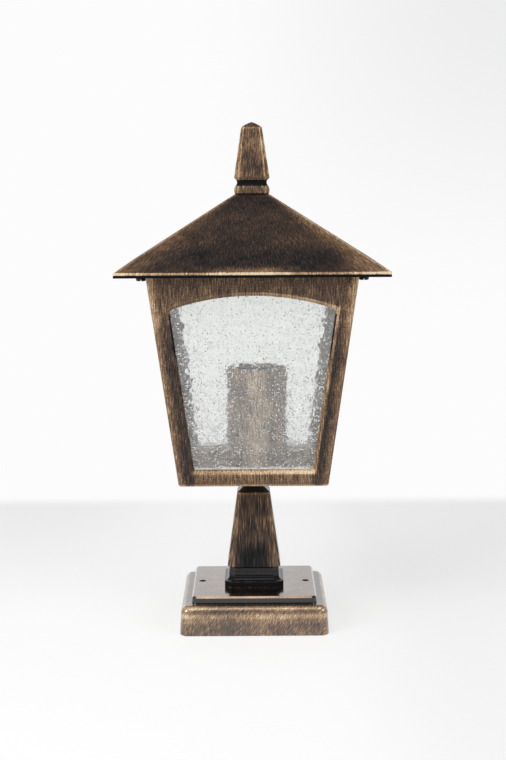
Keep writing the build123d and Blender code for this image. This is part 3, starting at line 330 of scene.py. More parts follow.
def bronze(name, rub_of, fan=0.0, length=SHORT_STROKE, tilt=0.0, streak=1.0, fleck=1.0, patch=0.5,
           metal=0.4, bare_rub=0.9, gloss=0.42, coat=0.0, coat_rough=0.25, shine=0.2):
    """A bronze material: rub_of(tree, place) gives the rub. Strokes have a length and a tilt and run
    straight down, or with a fan width they spread down a slope. streak, fleck and patch say how strongly
    strokes, specks and patches show. metal is the metallic share of bare bronze, reached at bare_rub;
    gloss is the paint's roughness and shine its specular level; coat and coat_rough are the varnish's
    weight and roughness."""
    material, tree = blank_material(name)
    place = square_place(tree)
    rub = rub_of(tree, place)
    lane = place["across"]
    if fan:
        spread = add(tree, "MapRange", {0: place["out"], 1: 0.0, 2: fan, **FAN_SPREAD})
        lane = add(tree, "Math", {0: lane, 1: spread}, operation="MULTIPLY")
    shift = add(tree, "Math", {0: place["facing"], 1: SIDE_SHIFT}, operation="MULTIPLY")
    down = add(tree, "Math", {0: place["z"], 1: place["out"]}, operation="SUBTRACT")
    lane = add(tree, "CombineXYZ", {0: lane, 1: shift, 2: down})
    brushed = add(tree, "Mapping", {
        "Vector": lane, "Rotation": (0.0, tilt, 0.0), "Scale": (STROKE_WIDTH, STROKE_WIDTH, length)},
        vector_type="TEXTURE")
    stroke = add(tree, "TexNoise", {"Vector": brushed, "Scale": 1.0, "Detail": 3.0, "Roughness": 0.65})
    speck = add(tree, "TexNoise", {"Vector": place["where"], "Scale": 1 / SPECK, "Detail": 1.0})
    cloud = add(tree, "TexNoise", {"Vector": place["where"], "Scale": 1 / PATCH, "Detail": 2.0})
    weights = (STREAKS * streak, FLECKS * fleck, patch)
    rub = rubbed(tree, rub, *zip((stroke, speck, cloud), weights))
    rub = add(tree, "Math", {0: rub, 1: sum(weights) / 2}, operation="SUBTRACT", use_clamp=True)
    ramp = add(tree, "ValToRGB", {0: rub})
    stops = ramp.node.color_ramp.elements
    while len(stops) < len(BRONZE_RAMP):
        stops.new(0.5)
    for stop, (at, code) in zip(stops, BRONZE_RAMP):
        stop.position = at
        stop.color = linear(code)
    bare = add(tree, "MapRange", {0: rub, 1: METAL_FROM, 2: bare_rub, 3: 0.0, 4: metal}, **SMOOTH)
    rough = add(tree, "MapRange", {0: rub, **PASTE_COVER, 3: gloss, 4: gloss + PASTE_ROUGHER})
    relief = add(tree, "Math", {0: stroke, 1: speck}, operation="ADD")
    bump = add(tree, "Bump", {"Height": relief, **PASTE_RELIEF})
    shader = add(tree, "BsdfPrincipled", {
        "Base Color": ramp, "Metallic": bare, "Roughness": rough, "Normal": bump,
        "Specular IOR Level": shine, "Coat Weight": coat, "Coat Roughness": coat_rough})
    add(tree, "OutputMaterial", {"Surface": shader})
    return material


print("bronze ramp", len(BRONZE_RAMP), "stops")

# %% [markdown]
# ## Roof
# On the roof the brush ran down the slopes, spreading from the top. Bronze lies along the hips, in front
# more along the right one than the left, and in a short band above the middle of each eave. The rest of
# the slope stays dark, also in a dusky belt above the eave, and painted shade darkens it under the finial.
# The rounded top of the lip is rubbed bright, and its upright face is painted black as shade. A hip could
# be looked for in the mesh, but it lies where the two sideways distances are equal, so their difference
# tells how far a point is from it.

# %% Roof finish
LIP_Z = 287.2 * MM
ROOF_TOP_Z = 342.96 * MM
ROOF_HALF = 102.1 * MM
ROOF_CLOUD = 38 * MM
HIP_HAND = {1: -40 * MM, 2: 40 * MM, 3: 0.6, 4: 1.0}
HIP_SHARE = {1: 0.04, 2: 0.34}
HIP_LINE = {1: 0.8 * MM, 2: 3.2 * MM}
EAVE_BAND = {1: 0.5 * MM, 2: 6 * MM}
EAVE_MIDDLE = {1: 10 * MM, 2: 45 * MM, 3: 1.0, 4: 0.12}
DUSK_HEIGHT = {1: 10 * MM, 2: 26 * MM}
DUSK_INWARD = {1: 8 * MM, 2: 40 * MM}
LIP_STARTS = {1: -1.9 * MM, 2: -1.2 * MM}
LIP_ENDS = {1: -0.2 * MM, 2: 0.6 * MM}
LIP_FACE_SHADE = {1: -2.2 * MM, 2: -1.5 * MM}
SUMMIT_SHADE = {1: 14 * MM, 2: 36 * MM}


def roof_rub(tree, place):
    """Dark slope, plus the hips, a band above the lip, soft clouds and the bright lip, with painted shade
    under the finial and on the lip's upright face.
    """
    hand = add(tree, "MapRange", {0: place["across"], **HIP_HAND})
    off_hip = add(tree, "Math", {0: place["corner_gap"], 1: place["out"]}, operation="DIVIDE")
    near = add(tree, "MapRange", {0: off_hip, **HIP_SHARE, **FALLING}, **SMOOTH)
    hip = add(tree, "Math", {0: near, 1: hand}, operation="MULTIPLY")
    line = add(tree, "MapRange", {0: place["corner_gap"], **HIP_LINE, **FALLING}, **SMOOTH)
    rise = add(tree, "Math", {0: place["z"], 1: LIP_Z}, operation="SUBTRACT")
    low = add(tree, "MapRange", {0: rise, **EAVE_BAND, **FALLING}, **SMOOTH)
    middle = add(tree, "MapRange", {0: place["side"], **EAVE_MIDDLE}, **SMOOTH)
    low = add(tree, "Math", {0: low, 1: middle}, operation="MULTIPLY")
    cloud = add(tree, "TexNoise", {"Vector": place["where"], "Scale": 1 / ROOF_CLOUD, "Detail": 1.0})
    cloud = add(tree, "Math", {0: cloud, 1: 0.5}, operation="SUBTRACT")
    dusky = add(tree, "MapRange", {0: rise, **DUSK_HEIGHT, **FALLING}, **SMOOTH)
    inward = add(tree, "MapRange", {0: place["corner_gap"], **DUSK_INWARD}, **SMOOTH)
    dusky = add(tree, "Math", {0: dusky, 1: inward}, operation="MULTIPLY")
    starts = add(tree, "MapRange", {0: rise, **LIP_STARTS}, **SMOOTH)
    ends = add(tree, "MapRange", {0: rise, **LIP_ENDS, **FALLING}, **SMOOTH)
    lip = add(tree, "Math", {0: starts, 1: ends}, operation="MULTIPLY")
    # Painted shade: below the lip's rounded top, its upright face goes black.
    face = add(tree, "MapRange", {0: rise, **LIP_FACE_SHADE, **FALLING}, **SMOOTH)
    # Painted shade: the slope darkens round the finial's foot.
    finial_shade = add(tree, "MapRange", {0: place["out"], **SUMMIT_SHADE, **FALLING}, **SMOOTH)
    return rubbed(tree, 0.31, (hip, 0.3), (line, 0.24), (dusky, -0.1), (low, 0.46), (cloud, 0.2),
                  (lip, 0.48), (face, -1.0), (finial_shade, -0.12))


# Dry paste without varnish: dull, with a faint metallic sheen along the strokes.
roof_bronze = bronze("bronze_rubbed_roof", roof_rub, fan=ROOF_HALF, length=MIDDLE_STROKE, streak=0.65,
                     fleck=1.3, patch=0.3, shine=0.1)
print(roof_bronze.name, len(roof_bronze.node_tree.nodes), "nodes")

# %% [markdown]
# ## Housing
# The housing is brown all over, brightest along its corners, its foot and the bevels round its windows.
# The bevels on the right, which face the key light, are brighter than those on the left: partly rub and
# partly painted light. The head rail is speckled, and the stiles and the sill keep a dark band between
# their edges. All of that hangs on the distance to the window, which is the largest of three: past its
# leaning side, below its sill, and outside its arch. High up, the window's upright edges are painted black
# as shade in the reveal.

# %% Distance to the window
LEAN = radians(7.64)
BODY_FOOT_HALF = 58.05 * MM
BODY_Z = 119.35 * MM
WINDOW_SILL = 12.8 * MM
WINDOW_STILE = 13.8 * MM
WINDOW_PEAK = 150.05 * MM
WINDOW_RISE = 10.8 * MM
WINDOW_FOOT_HALF = BODY_FOOT_HALF - WINDOW_STILE
SPRING_HALF = BODY_FOOT_HALF + (WINDOW_PEAK - WINDOW_RISE) * sin(LEAN) - WINDOW_STILE
# The radius of a circle from half its chord and its rise.
ARCH_RADIUS = (SPRING_HALF**2 + WINDOW_RISE**2) / (2 * WINDOW_RISE)


def window_gaps(tree, place):
    """Height up the leaning face, and the gaps past the window's side, below its sill and outside its arch,
    which is a circle through the window's peak and its two springing points."""
    height = add(tree, "Math", {0: place["z"], 1: BODY_Z}, operation="SUBTRACT")
    up = add(tree, "Math", {0: height, 1: 1 / cos(LEAN)}, operation="MULTIPLY")
    edge = add(tree, "Math", {0: up, 1: sin(LEAN), 2: WINDOW_FOOT_HALF}, operation="MULTIPLY_ADD")
    past_side = add(tree, "Math", {0: place["side"], 1: edge}, operation="SUBTRACT")
    below_sill = add(tree, "Math", {0: WINDOW_SILL, 1: up}, operation="SUBTRACT")
    from_centre = add(tree, "Math", {0: up, 1: WINDOW_PEAK - ARCH_RADIUS}, operation="SUBTRACT")
    spot = add(tree, "CombineXYZ", {0: place["side"], 1: from_centre})
    reach = add(tree, "VectorMath", {0: spot}, operation="LENGTH").node.outputs["Value"]
    past_arch = add(tree, "Math", {0: reach, 1: ARCH_RADIUS}, operation="SUBTRACT")
    return up, past_side, below_sill, past_arch


print("arch radius", round(ARCH_RADIUS / MM, 1), "mm")

# %% Housing finish
WINDOW_BEVEL = 2.3 * MM
BEVEL_EDGE = {1: WINDOW_BEVEL, 2: WINDOW_BEVEL + 1.5 * MM}
BEVEL_HAND_AND_LIGHT = {1: -30 * MM, 2: 40 * MM, 3: 0.35, 4: 1.3}
BODY_CORNER = {1: 1 * MM, 2: 9 * MM}
HEAD_RAIL = {1: -30 * MM, 2: 6 * MM}
BODY_FOOT = {1: 0.5 * MM, 2: 2.5 * MM}
SILL_ENDS = {1: -1 * MM, 2: 4 * MM}
SILL_RAIL = {1: -1 * MM, 2: 1 * MM}
SILL_TOP = {1: 2.5 * MM, 2: 5.5 * MM}
WINDOW_WALL = {1: 0.6 * MM, 2: 1.4 * MM}
REVEAL_SHADE_FROM = {1: 95 * MM, 2: 118 * MM}
ARCH_WALL = {1: -4 * MM, 2: -2 * MM}
BODY_INSIDE = {1: 2.6 * MM, 2: 3.2 * MM}


def housing_rub(tree, place):
    """Corner lines, window bevels, brown head rail, and a dark band on the stiles and the sill rail. The
    bevels are brighter on the right, partly as painted light, and high up the window's edges get painted
    shade.
    """
    up, past_side, below_sill, past_arch = window_gaps(tree, place)
    gap = add(tree, "Math", {0: past_side, 1: below_sill}, operation="MAXIMUM")
    gap = add(tree, "Math", {0: gap, 1: past_arch}, operation="MAXIMUM")
    bevel = add(tree, "MapRange", {0: gap, **BEVEL_EDGE, **FALLING}, **SMOOTH)
    # Partly painted light: bevels on the right, facing the key light, are brighter than those on the left.
    hand = add(tree, "MapRange", {0: place["across"], **BEVEL_HAND_AND_LIGHT})
    bevel = add(tree, "Math", {0: bevel, 1: hand}, operation="MULTIPLY")
    corner = add(tree, "MapRange", {0: place["corner_gap"], **BODY_CORNER, **FALLING}, **SMOOTH)
    head = add(tree, "MapRange", {0: past_arch, **HEAD_RAIL}, **SMOOTH)
    foot = add(tree, "MapRange", {0: up, **BODY_FOOT, **FALLING}, **SMOOTH)
    between = add(tree, "MapRange", {0: past_side, **SILL_ENDS, **FALLING}, **SMOOTH)
    rail = add(tree, "MapRange", {0: below_sill, **SILL_RAIL}, **SMOOTH)
    rail = add(tree, "Math", {0: rail, 1: between}, operation="MULTIPLY")
    sill = add(tree, "MapRange", {0: below_sill, **SILL_TOP, **FALLING}, **SMOOTH)
    sill = add(tree, "Math", {0: sill, 1: rail}, operation="MULTIPLY")
    inner = add(tree, "MapRange", {0: gap, **WINDOW_WALL, **FALLING}, **SMOOTH)
    # Painted shade: high up and below the arch, the window's upright edges go black as a shaded reveal.
    high = add(tree, "MapRange", {0: up, **REVEAL_SHADE_FROM}, **SMOOTH)
    below_arch = add(tree, "MapRange", {0: past_arch, **ARCH_WALL, **FALLING}, **SMOOTH)
    reveal_shade = add(tree, "Math", {0: inner, 1: high}, operation="MULTIPLY")
    reveal_shade = add(tree, "Math", {0: reveal_shade, 1: below_arch}, operation="MULTIPLY")
    body_half = add(tree, "Math", {0: up, 1: sin(LEAN), 2: BODY_FOOT_HALF}, operation="MULTIPLY_ADD")
    depth = add(tree, "Math", {0: body_half, 1: place["out"]}, operation="SUBTRACT")
    inside = add(tree, "MapRange", {0: depth, **BODY_INSIDE}, **SMOOTH)
    return rubbed(tree, 0.26, (corner, 0.34), (bevel, 0.3), (head, 0.2), (foot, 0.3),
                  (rail, 0.24), (sill, 0.12), (reveal_shade, -0.9), (inside, 0.15))


# The same dry paste: small specks glint on a dull brown ground.
housing_bronze = bronze("bronze_rubbed_housing", housing_rub, length=MIDDLE_STROKE, streak=0.75, fleck=1.3,
                        patch=0.25)
print(housing_bronze.name, len(housing_bronze.node_tree.nodes), "nodes")

# %% [markdown]
# ## Post and finial
# Both are tapered square castings with cut corners. The cut faces and their edges are rubbed bright, and
# each flat face keeps a dark place: low down on the post, in the lower middle on the finial. The
# mouldings under the shaft, the sloped top of the post and the finial's groove were never reached by the
# brush. Marks could be measured in millimetres, but both shafts taper, so a place across a face is told
# as a share of the half width there, and one function serves both.

# %% Marks of a tapered shaft
CUT_EDGE = (-0.02, 0.03)
CUT_LINE = {1: 0.02, 2: 0.09}
FACE_MIDDLE = {1: 0.25, 2: 0.75}


def taper_marks(tree, place, low, high, foot_half, top_half, cut):
    """For a tapered square shaft: 0 to 1 up the shaft, the cut corner faces, the edge lines beside them, and
    the middle of each face. The share is the place across the face over its half width."""
    climb = add(tree, "MapRange", {0: place["z"], 1: low, 2: high})
    half = add(tree, "MapRange", {0: place["z"], 1: low, 2: high, 3: foot_half, 4: top_half})
    share = add(tree, "Math", {0: place["side"], 1: half}, operation="DIVIDE")
    edge = 1 - cut
    cut_face = add(tree, "MapRange", {0: share, 1: edge + CUT_EDGE[0], 2: edge + CUT_EDGE[1]}, **SMOOTH)
    off_line = add(tree, "Math", {0: share, 1: edge}, operation="SUBTRACT")
    off_line = add(tree, "Math", {0: off_line}, operation="ABSOLUTE")
    line = add(tree, "MapRange", {0: off_line, **CUT_LINE, **FALLING}, **SMOOTH)
    middle = add(tree, "MapRange", {0: share, **FACE_MIDDLE, **FALLING}, **SMOOTH)
    return climb, cut_face, line, middle


print("edge lines are", CUT_LINE[2], "of a face's half width")

# %% Post finish
POST_CUT = 0.23
POST_SHAFT_Z = 45.95 * MM
POST_SLOPE_Z = 104.95 * MM
POST_FOOT_HALF = 21.25 * MM
POST_TOP_HALF = 13.1 * MM
POST_HIGHLIGHT_LEVELS = (29.9 * MM, 34.3 * MM, 41.2 * MM)
POST_DARK = {1: 0.12, 2: 0.42}
POST_RIM = {1: POST_SLOPE_Z - 2.5 * MM, 2: POST_SLOPE_Z - 0.5 * MM}
POST_BELOW = {1: POST_SHAFT_Z - 0.6 * MM, 2: POST_SHAFT_Z}
POST_ABOVE = {1: POST_SLOPE_Z + 0.1 * MM, 2: POST_SLOPE_Z + 0.6 * MM}
HIGHLIGHT_LINE_WIDTH = {1: 0.2 * MM, 2: 0.7 * MM}


def post_rub(tree, place):
    """Rubbed shaft with bright cut corners, dark low in the middle; black above and below the shaft, but for
    painted highlight lines along the edges of the mouldings."""
    climb, cut_face, line, middle = taper_marks(
        tree, place, POST_SHAFT_Z, POST_SLOPE_Z, POST_FOOT_HALF, POST_TOP_HALF, POST_CUT)
    low = add(tree, "MapRange", {0: climb, **POST_DARK, **FALLING}, **SMOOTH)
    dark = add(tree, "Math", {0: low, 1: middle}, operation="MULTIPLY")
    rim = add(tree, "MapRange", {0: place["z"], **POST_RIM}, **SMOOTH)
    below = add(tree, "MapRange", {0: place["z"], **POST_BELOW, **FALLING})
    above = add(tree, "MapRange", {0: place["z"], **POST_ABOVE})
    unbrushed = add(tree, "Math", {0: below, 1: above}, operation="ADD")
    # Painted highlights: thin lighter lines on the black mouldings at these levels.
    edge_highlight = 0.0
    for level in POST_HIGHLIGHT_LEVELS:
        off = add(tree, "Math", {0: place["z"], 1: level}, operation="SUBTRACT")
        off = add(tree, "Math", {0: off}, operation="ABSOLUTE")
        near = add(tree, "MapRange", {0: off, **HIGHLIGHT_LINE_WIDTH, **FALLING}, **SMOOTH)
        edge_highlight = add(tree, "Math", {0: near, 1: edge_highlight}, operation="ADD")
    shaft = rubbed(tree, 0.34, (cut_face, 0.2), (line, 0.05), (rim, 0.16), (dark, -0.4))
    black = rubbed(tree, -0.5, (edge_highlight, 0.7))
    return add(tree, "Mix", {0: unbrushed, 2: shaft, 3: black})


# Varnished, unlike the roof: soft highlights lie on the black mouldings.
post_bronze = bronze("bronze_rubbed_post", post_rub, length=LONG_STROKE, streak=1.0, fleck=0.35,
                     gloss=0.3, coat=0.4, coat_rough=0.12)
print(post_bronze.name, len(post_bronze.node_tree.nodes), "nodes")

# %% Finial finish
FINIAL_CUT = 0.24
GROOVE_Z = 349.76 * MM
TAPER_Z = 354.56 * MM
TIP_Z = 395.26 * MM
FINIAL_FOOT_HALF = 13.95 * MM
FINIAL_TOP_HALF = 8.1 * MM
DARK_STARTS = {1: 0.06, 2: 0.25}
DARK_ENDS = {1: 0.3, 2: 0.6}
GROOVE_STARTS = {1: GROOVE_Z - 0.2 * MM, 2: GROOVE_Z + 0.8 * MM}
GROOVE_ENDS = {1: TAPER_Z - 0.6 * MM, 2: TAPER_Z}
FINIAL_JOINT_SHADE = {1: ROOF_TOP_Z + 0.4 * MM, 2: ROOF_TOP_Z + 1.2 * MM}
FINIAL_TIP = {1: TIP_Z + 0.2 * MM, 2: TIP_Z + 0.9 * MM}
UPPER_RIM = {1: TIP_Z - 1.4 * MM, 2: TIP_Z - 0.5 * MM}
LOWER_RIM = {1: TAPER_Z + 0.8 * MM, 2: TAPER_Z + 2.2 * MM}
FINIAL_COLLAR = {1: GROOVE_Z, 2: TAPER_Z}


def finial_rub(tree, place):
    """Rubbed all over, brighter on the cut corners and both rims, darker in the lower middle; black groove,
    painted shade where the finial meets the roof, and a brown tip."""
    climb, cut_face, line, middle = taper_marks(
        tree, place, TAPER_Z, TIP_Z, FINIAL_FOOT_HALF, FINIAL_TOP_HALF, FINIAL_CUT)
    starts = add(tree, "MapRange", {0: climb, **DARK_STARTS}, **SMOOTH)
    ends = add(tree, "MapRange", {0: climb, **DARK_ENDS, **FALLING}, **SMOOTH)
    dark = add(tree, "Math", {0: starts, 1: ends}, operation="MULTIPLY")
    dark = add(tree, "Math", {0: dark, 1: middle}, operation="MULTIPLY")
    starts = add(tree, "MapRange", {0: place["z"], **GROOVE_STARTS}, **SMOOTH)
    ends = add(tree, "MapRange", {0: place["z"], **GROOVE_ENDS, **FALLING}, **SMOOTH)
    groove = add(tree, "Math", {0: starts, 1: ends}, operation="MULTIPLY")
    # Painted shade: a dark line at the finial's foot, where it sits on the roof.
    joint_shade = add(tree, "MapRange", {0: place["z"], **FINIAL_JOINT_SHADE, **FALLING})
    tip = add(tree, "MapRange", {0: place["z"], **FINIAL_TIP}, **SMOOTH)
    upper = add(tree, "MapRange", {0: place["z"], **UPPER_RIM}, **SMOOTH)
    lower = add(tree, "MapRange", {0: place["z"], **LOWER_RIM, **FALLING}, **SMOOTH)
    collar = add(tree, "MapRange", {0: place["z"], **FINIAL_COLLAR, **FALLING}, **SMOOTH)
    lower = add(tree, "Math", {0: lower, 1: collar}, operation="SUBTRACT")
    rim = add(tree, "Math", {0: upper, 1: lower}, operation="MAXIMUM")
    return rubbed(tree, 0.51, (cut_face, 0.12), (line, 0.22), (dark, -0.24), (tip, -0.26), (joint_shade, -0.8),
                  (groove, -1.6), (rim, 0.14), (collar, -0.03))


# Dry paste laid on thickly: pale gold with hardly any highlight.
finial_bronze = bronze("bronze_rubbed_finial", finial_rub, length=MIDDLE_STROKE, streak=0.8, shine=0.12)
print(finial_bronze.name, len(finial_bronze.node_tree.nodes), "nodes")

# %% [markdown]
# ## Plinth
# The plinth's corners and round shoulder are rubbed to gold, and the rub also carries painted light: a
# highlight along the top of the round, a dark reflection on the bend below it, and a lighter lit band and
# upper side below the bend. Its sides are streaked by short slanting strokes, with a few dark clouds, and a
# glossy varnish covers them. The flat top inside the shoulder is darker with painted shade from the plate.
# Each level could be a material of its own, but heights within one rub run softly into each other, as paste
# does.

# %% Plinth finish
PLINTH_SHOULDER_Z = 17.0 * MM
PLINTH_TOP_Z = 23.3 * MM
PLINTH_CLOUD = 30 * MM
SLANT = radians(22)
PLINTH_LIT_SIDE = {1: 8 * MM, 2: 13 * MM}
PLINTH_LIT_BAND = {1: -4.2 * MM, 2: -2.2 * MM}
PLINTH_DARK_REFLECTION = {1: -0.5 * MM, 2: 1.0 * MM}
PLINTH_SHOULDER_GLINT = {1: 2.4 * MM, 2: 3.8 * MM}
PLINTH_CORNER = {1: 2 * MM, 2: 12 * MM}
PLINTH_FLAT_SHADE = {1: PLINTH_TOP_Z - 0.6 * MM, 2: PLINTH_TOP_Z - 0.1 * MM}


def plinth_rub(tree, place):
    """Gold shoulder with a painted highlight on its top, a painted dark reflection on the bend, a painted
    lit band and upper side below it, dark clouds, and painted shade from the plate on the flat top.
    """
    # Painted light: a lit upper side and band, a dark reflection on the bend and a highlight on the
    # shoulder.
    light = add(tree, "MapRange", {0: place["z"], **PLINTH_LIT_SIDE}, **SMOOTH)
    climb = add(tree, "Math", {0: place["z"], 1: PLINTH_SHOULDER_Z}, operation="SUBTRACT")
    band = add(tree, "MapRange", {0: climb, **PLINTH_LIT_BAND}, **SMOOTH)
    bend = add(tree, "MapRange", {0: climb, **PLINTH_DARK_REFLECTION}, **SMOOTH)
    shoulder = add(tree, "MapRange", {0: climb, **PLINTH_SHOULDER_GLINT}, **SMOOTH)
    corner = add(tree, "MapRange", {0: place["corner_gap"], **PLINTH_CORNER, **FALLING}, **SMOOTH)
    # Painted shade from the plate darkens the flat top.
    top = add(tree, "MapRange", {0: place["z"], **PLINTH_FLAT_SHADE}, **SMOOTH)
    cloud = add(tree, "TexNoise", {"Vector": place["where"], "Scale": 1 / PLINTH_CLOUD, "Detail": 1.0})
    cloud = add(tree, "Math", {0: cloud, 1: 0.5}, operation="SUBTRACT")
    return rubbed(tree, 0.5, (light, 0.1), (band, 0.15), (bend, -0.2), (shoulder, 0.17), (corner, 0.12),
                  (top, -0.34), (cloud, 0.35))


# Glossy varnish over the strokes: broad soft highlights on the round shoulder, beside the painted one.
plinth_bronze = bronze("bronze_rubbed_plinth", plinth_rub, tilt=SLANT, streak=0.85, fleck=0.4, patch=0.3,
                       gloss=0.25, coat=1.0, shine=0.5)
print(plinth_bronze.name, len(plinth_bronze.node_tree.nodes), "nodes")

# %% [markdown]
# ## Plate and lamp sleeve
# The plate was wiped flat and varnished, so its top is smooth bare metal that mirrors the white wall and
# the black moulding. Its upright sides and its two holes stayed black. A mirror could be made for it
# alone, but the same bronze with more metal in it keeps the colour of its neighbours. The sleeve inside
# the glass has plain strokes down its length, and a painted highlight runs along the middle of its front
# and back.

# %% Plate and sleeve finishes
PLATE_HALF = 49.25 * MM
PLATE_TOP_Z = 29.3 * MM
PLATE_BEVEL = 1.3 * MM
BEVEL_ENDS = {1: PLATE_BEVEL, 2: PLATE_BEVEL + 0.8 * MM}
HOLE_PLACE = 42.0 * MM
HOLE_RADIUS = 2.75 * MM
HOLE_EDGE = {1: HOLE_RADIUS + 0.1 * MM, 2: HOLE_RADIUS + 0.4 * MM}
SLEEVE_SHIFT = 3.0 * MM
SLEEVE_HIGHLIGHT = {1: 2 * MM, 2: 14 * MM, 3: 0.78, 4: 0.57}


def plate_rub(tree, place):
    """Wiped metal on the top, slightly lighter at the bevel; black upright sides and holes."""
    edge_gap = add(tree, "Math", {0: PLATE_HALF, 1: place["out"]}, operation="SUBTRACT")
    bevel = add(tree, "MapRange", {0: edge_gap, **BEVEL_ENDS, **FALLING}, **SMOOTH)
    drop = add(tree, "Math", {0: PLATE_TOP_Z, 1: place["z"]}, operation="SUBTRACT")
    wall = add(tree, "MapRange", {0: drop, **BEVEL_ENDS}, **SMOOTH)
    sideways = add(tree, "Math", {0: place["x"]}, operation="ABSOLUTE")
    sideways = add(tree, "Math", {0: sideways, 1: HOLE_PLACE}, operation="SUBTRACT")
    spot = add(tree, "CombineXYZ", {0: sideways, 1: place["y"]})
    reach = add(tree, "VectorMath", {0: spot}, operation="LENGTH").node.outputs["Value"]
    hole = add(tree, "MapRange", {0: reach, **HOLE_EDGE, **FALLING})
    return rubbed(tree, 0.53, (bevel, 0.03), (wall, -1.5), (hole, -1.5))


def sleeve_highlight_rub(tree, place):
    """A painted highlight: the rub is strongest along the middle of the front and of the back."""
    off = add(tree, "Math", {0: place["x"], 1: SLEEVE_SHIFT}, operation="SUBTRACT")
    off = add(tree, "Math", {0: off}, operation="ABSOLUTE")
    return add(tree, "MapRange", {0: off, **SLEEVE_HIGHLIGHT}, **SMOOTH)


# Wiped metal under thin varnish: it mirrors the wall and what stands on it.
plate_bronze = bronze("bronze_wiped_plate", plate_rub, streak=0.35, fleck=0.25, patch=0.35, metal=1.0,
                      bare_rub=0.55, gloss=0.12, coat=0.85, coat_rough=0.1, shine=0.4)
# Dry paste in long strokes under a painted highlight: a soft brown sheen behind the glass.
sleeve_bronze = bronze("bronze_rubbed_sleeve", sleeve_highlight_rub, length=LONG_STROKE)
print(plate_bronze.name, sleeve_bronze.name)

# %% [markdown]
# ## Wavy panes
# The panes are cast glass with trapped seeds, rolled a little wavy, which blurs what stands behind. A
# bump in the material could bend the light too, but the mesh would stay flat. So the waves are real: each
# pane is worked out as two grids, one for each face. A share across and a height up the slope give a
# point, and a relief sinks it by up to a quarter of a millimetre, so the pane never leaves the space of
# its solid.

# %% Relief of rolled glass
PANE_FOOT = 3.365 * MM
PANE_TOP = 154.05 * MM
PANE_FOOT_HALF = 51.13 * MM
PANE_TOP_HALF = 71.16 * MM
SEEDS = 420
SEED_SIZE = 1.1 * MM
SEED_DEPTH = 0.16 * MM
WAVE_SIZE = 7 * MM
WAVE_DEPTH = 0.07 * MM


def rolled_relief(random, across, up):
    """How deep each point sinks: WAVE_DEPTH x waves + SEED_DEPTH x dimples. The waves are noise whose
    frequencies f are kept by exp(-(pi f WAVE_SIZE)^2 / 4), scaled to 0 to 1. A dimple at distance d from the
    nearest seed is exp(-d^2 / SEED_SIZE^2)."""
    rough = random.standard_normal(across.shape)
    step_up = (PANE_TOP - PANE_FOOT) / (across.shape[0] - 1)
    step_across = (PANE_FOOT_HALF + PANE_TOP_HALF) / (across.shape[1] - 1)
    rows = np.fft.fftfreq(across.shape[0], step_up)[:, None]
    columns = np.fft.fftfreq(across.shape[1], step_across)[None, :]
    keep = np.exp(-((rows**2 + columns**2) * (pi * WAVE_SIZE) ** 2) / 4)
    waves = np.fft.ifft2(np.fft.fft2(rough) * keep).real
    waves = (waves - waves.min()) / (waves.max() - waves.min())
    seed_across = random.uniform(-PANE_TOP_HALF, PANE_TOP_HALF, SEEDS)[:, None, None]
    seed_up = random.uniform(PANE_FOOT, PANE_TOP, SEEDS)[:, None, None]
    far = ((across - seed_across) ** 2 + (up - seed_up) ** 2) / SEED_SIZE**2
    dimples = np.exp(-far).max(axis=0)
    return WAVE_DEPTH * waves + SEED_DEPTH * dimples


print("relief up to", round((WAVE_DEPTH + SEED_DEPTH) / MM, 2), "mm deep")

# %% Pane mesh
GLASS_THICKNESS = 3.0 * MM
BODY_WALL = 3.5 * MM
PANE_STEPS = (130, 140)


def pane_points(random):
    """Both faces of a front pane. The grid is a share s of the half width and a height u up the leaning
    face: x = s x half width, y = -(foot half + u sin lean) + depth cos lean,
    z = foot height + u cos lean + depth sin lean, where depth is that of the face, sunk by the relief."""
    columns, rows = PANE_STEPS
    up, share = np.meshgrid(
        np.linspace(PANE_FOOT, PANE_TOP, rows), np.linspace(-1, 1, columns), indexing="ij")
    half = np.interp(up, [PANE_FOOT, PANE_TOP], [PANE_FOOT_HALF, PANE_TOP_HALF])
    across = share * half
    faces = []
    for depth, inward in ((BODY_WALL, 1.0), (BODY_WALL + GLASS_THICKNESS, -1.0)):
        sunk = depth + inward * rolled_relief(random, across, up)
        y = -BODY_FOOT_HALF - up * sin(LEAN) + sunk * cos(LEAN)
        z = BODY_Z + up * cos(LEAN) + sunk * sin(LEAN)
        faces.append(np.stack([across, y, z], axis=-1))
    return np.concatenate([face.reshape(-1, 3) for face in faces])


def slab_faces(rows, columns):
    """Quads of a closed slab from two grids of points: the outer one, the inner one turned over, and the
    rim, which joins the two along the border."""
    index = np.arange(rows * columns).reshape(rows, columns)
    quads = np.stack([index[:-1, :-1], index[:-1, 1:], index[1:, 1:], index[1:, :-1]], axis=-1)
    quads = quads.reshape(-1, 4)
    inner = quads[:, ::-1] + rows * columns
    loop = np.concatenate([index[0, :-1], index[:-1, -1], index[-1, :0:-1], index[:0:-1, 0]])
    following = np.roll(loop, -1)
    rim = np.stack([loop, loop + rows * columns, following + rows * columns, following], axis=-1)
    return np.concatenate([quads, inner, rim])


def pane(side, turn, material, random):
    """A pane mesh turned to its side of the housing, riding on the lantern in place of its solid."""
    points = pane_points(random)
    angle = radians(turn)
    spin = np.array([[cos(angle), sin(angle), 0], [-sin(angle), cos(angle), 0], [0, 0, 1]])
    mesh = bpy.data.meshes.new("seeded_pane_" + side)
    mesh.from_pydata((points @ spin).tolist(), [], slab_faces(PANE_STEPS[1], PANE_STEPS[0]).tolist())
    mesh.polygons.foreach_set("use_smooth", np.ones(len(mesh.polygons), bool))
    mesh.materials.append(material)
    piece = bpy.data.objects.new("seeded_pane_" + side, mesh)
    bpy.context.scene.collection.objects.link(piece)
    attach(piece, "lantern")
    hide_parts("glass_" + side)
    return piece


print("pane grid", PANE_STEPS[0], "across by", PANE_STEPS[1], "up")

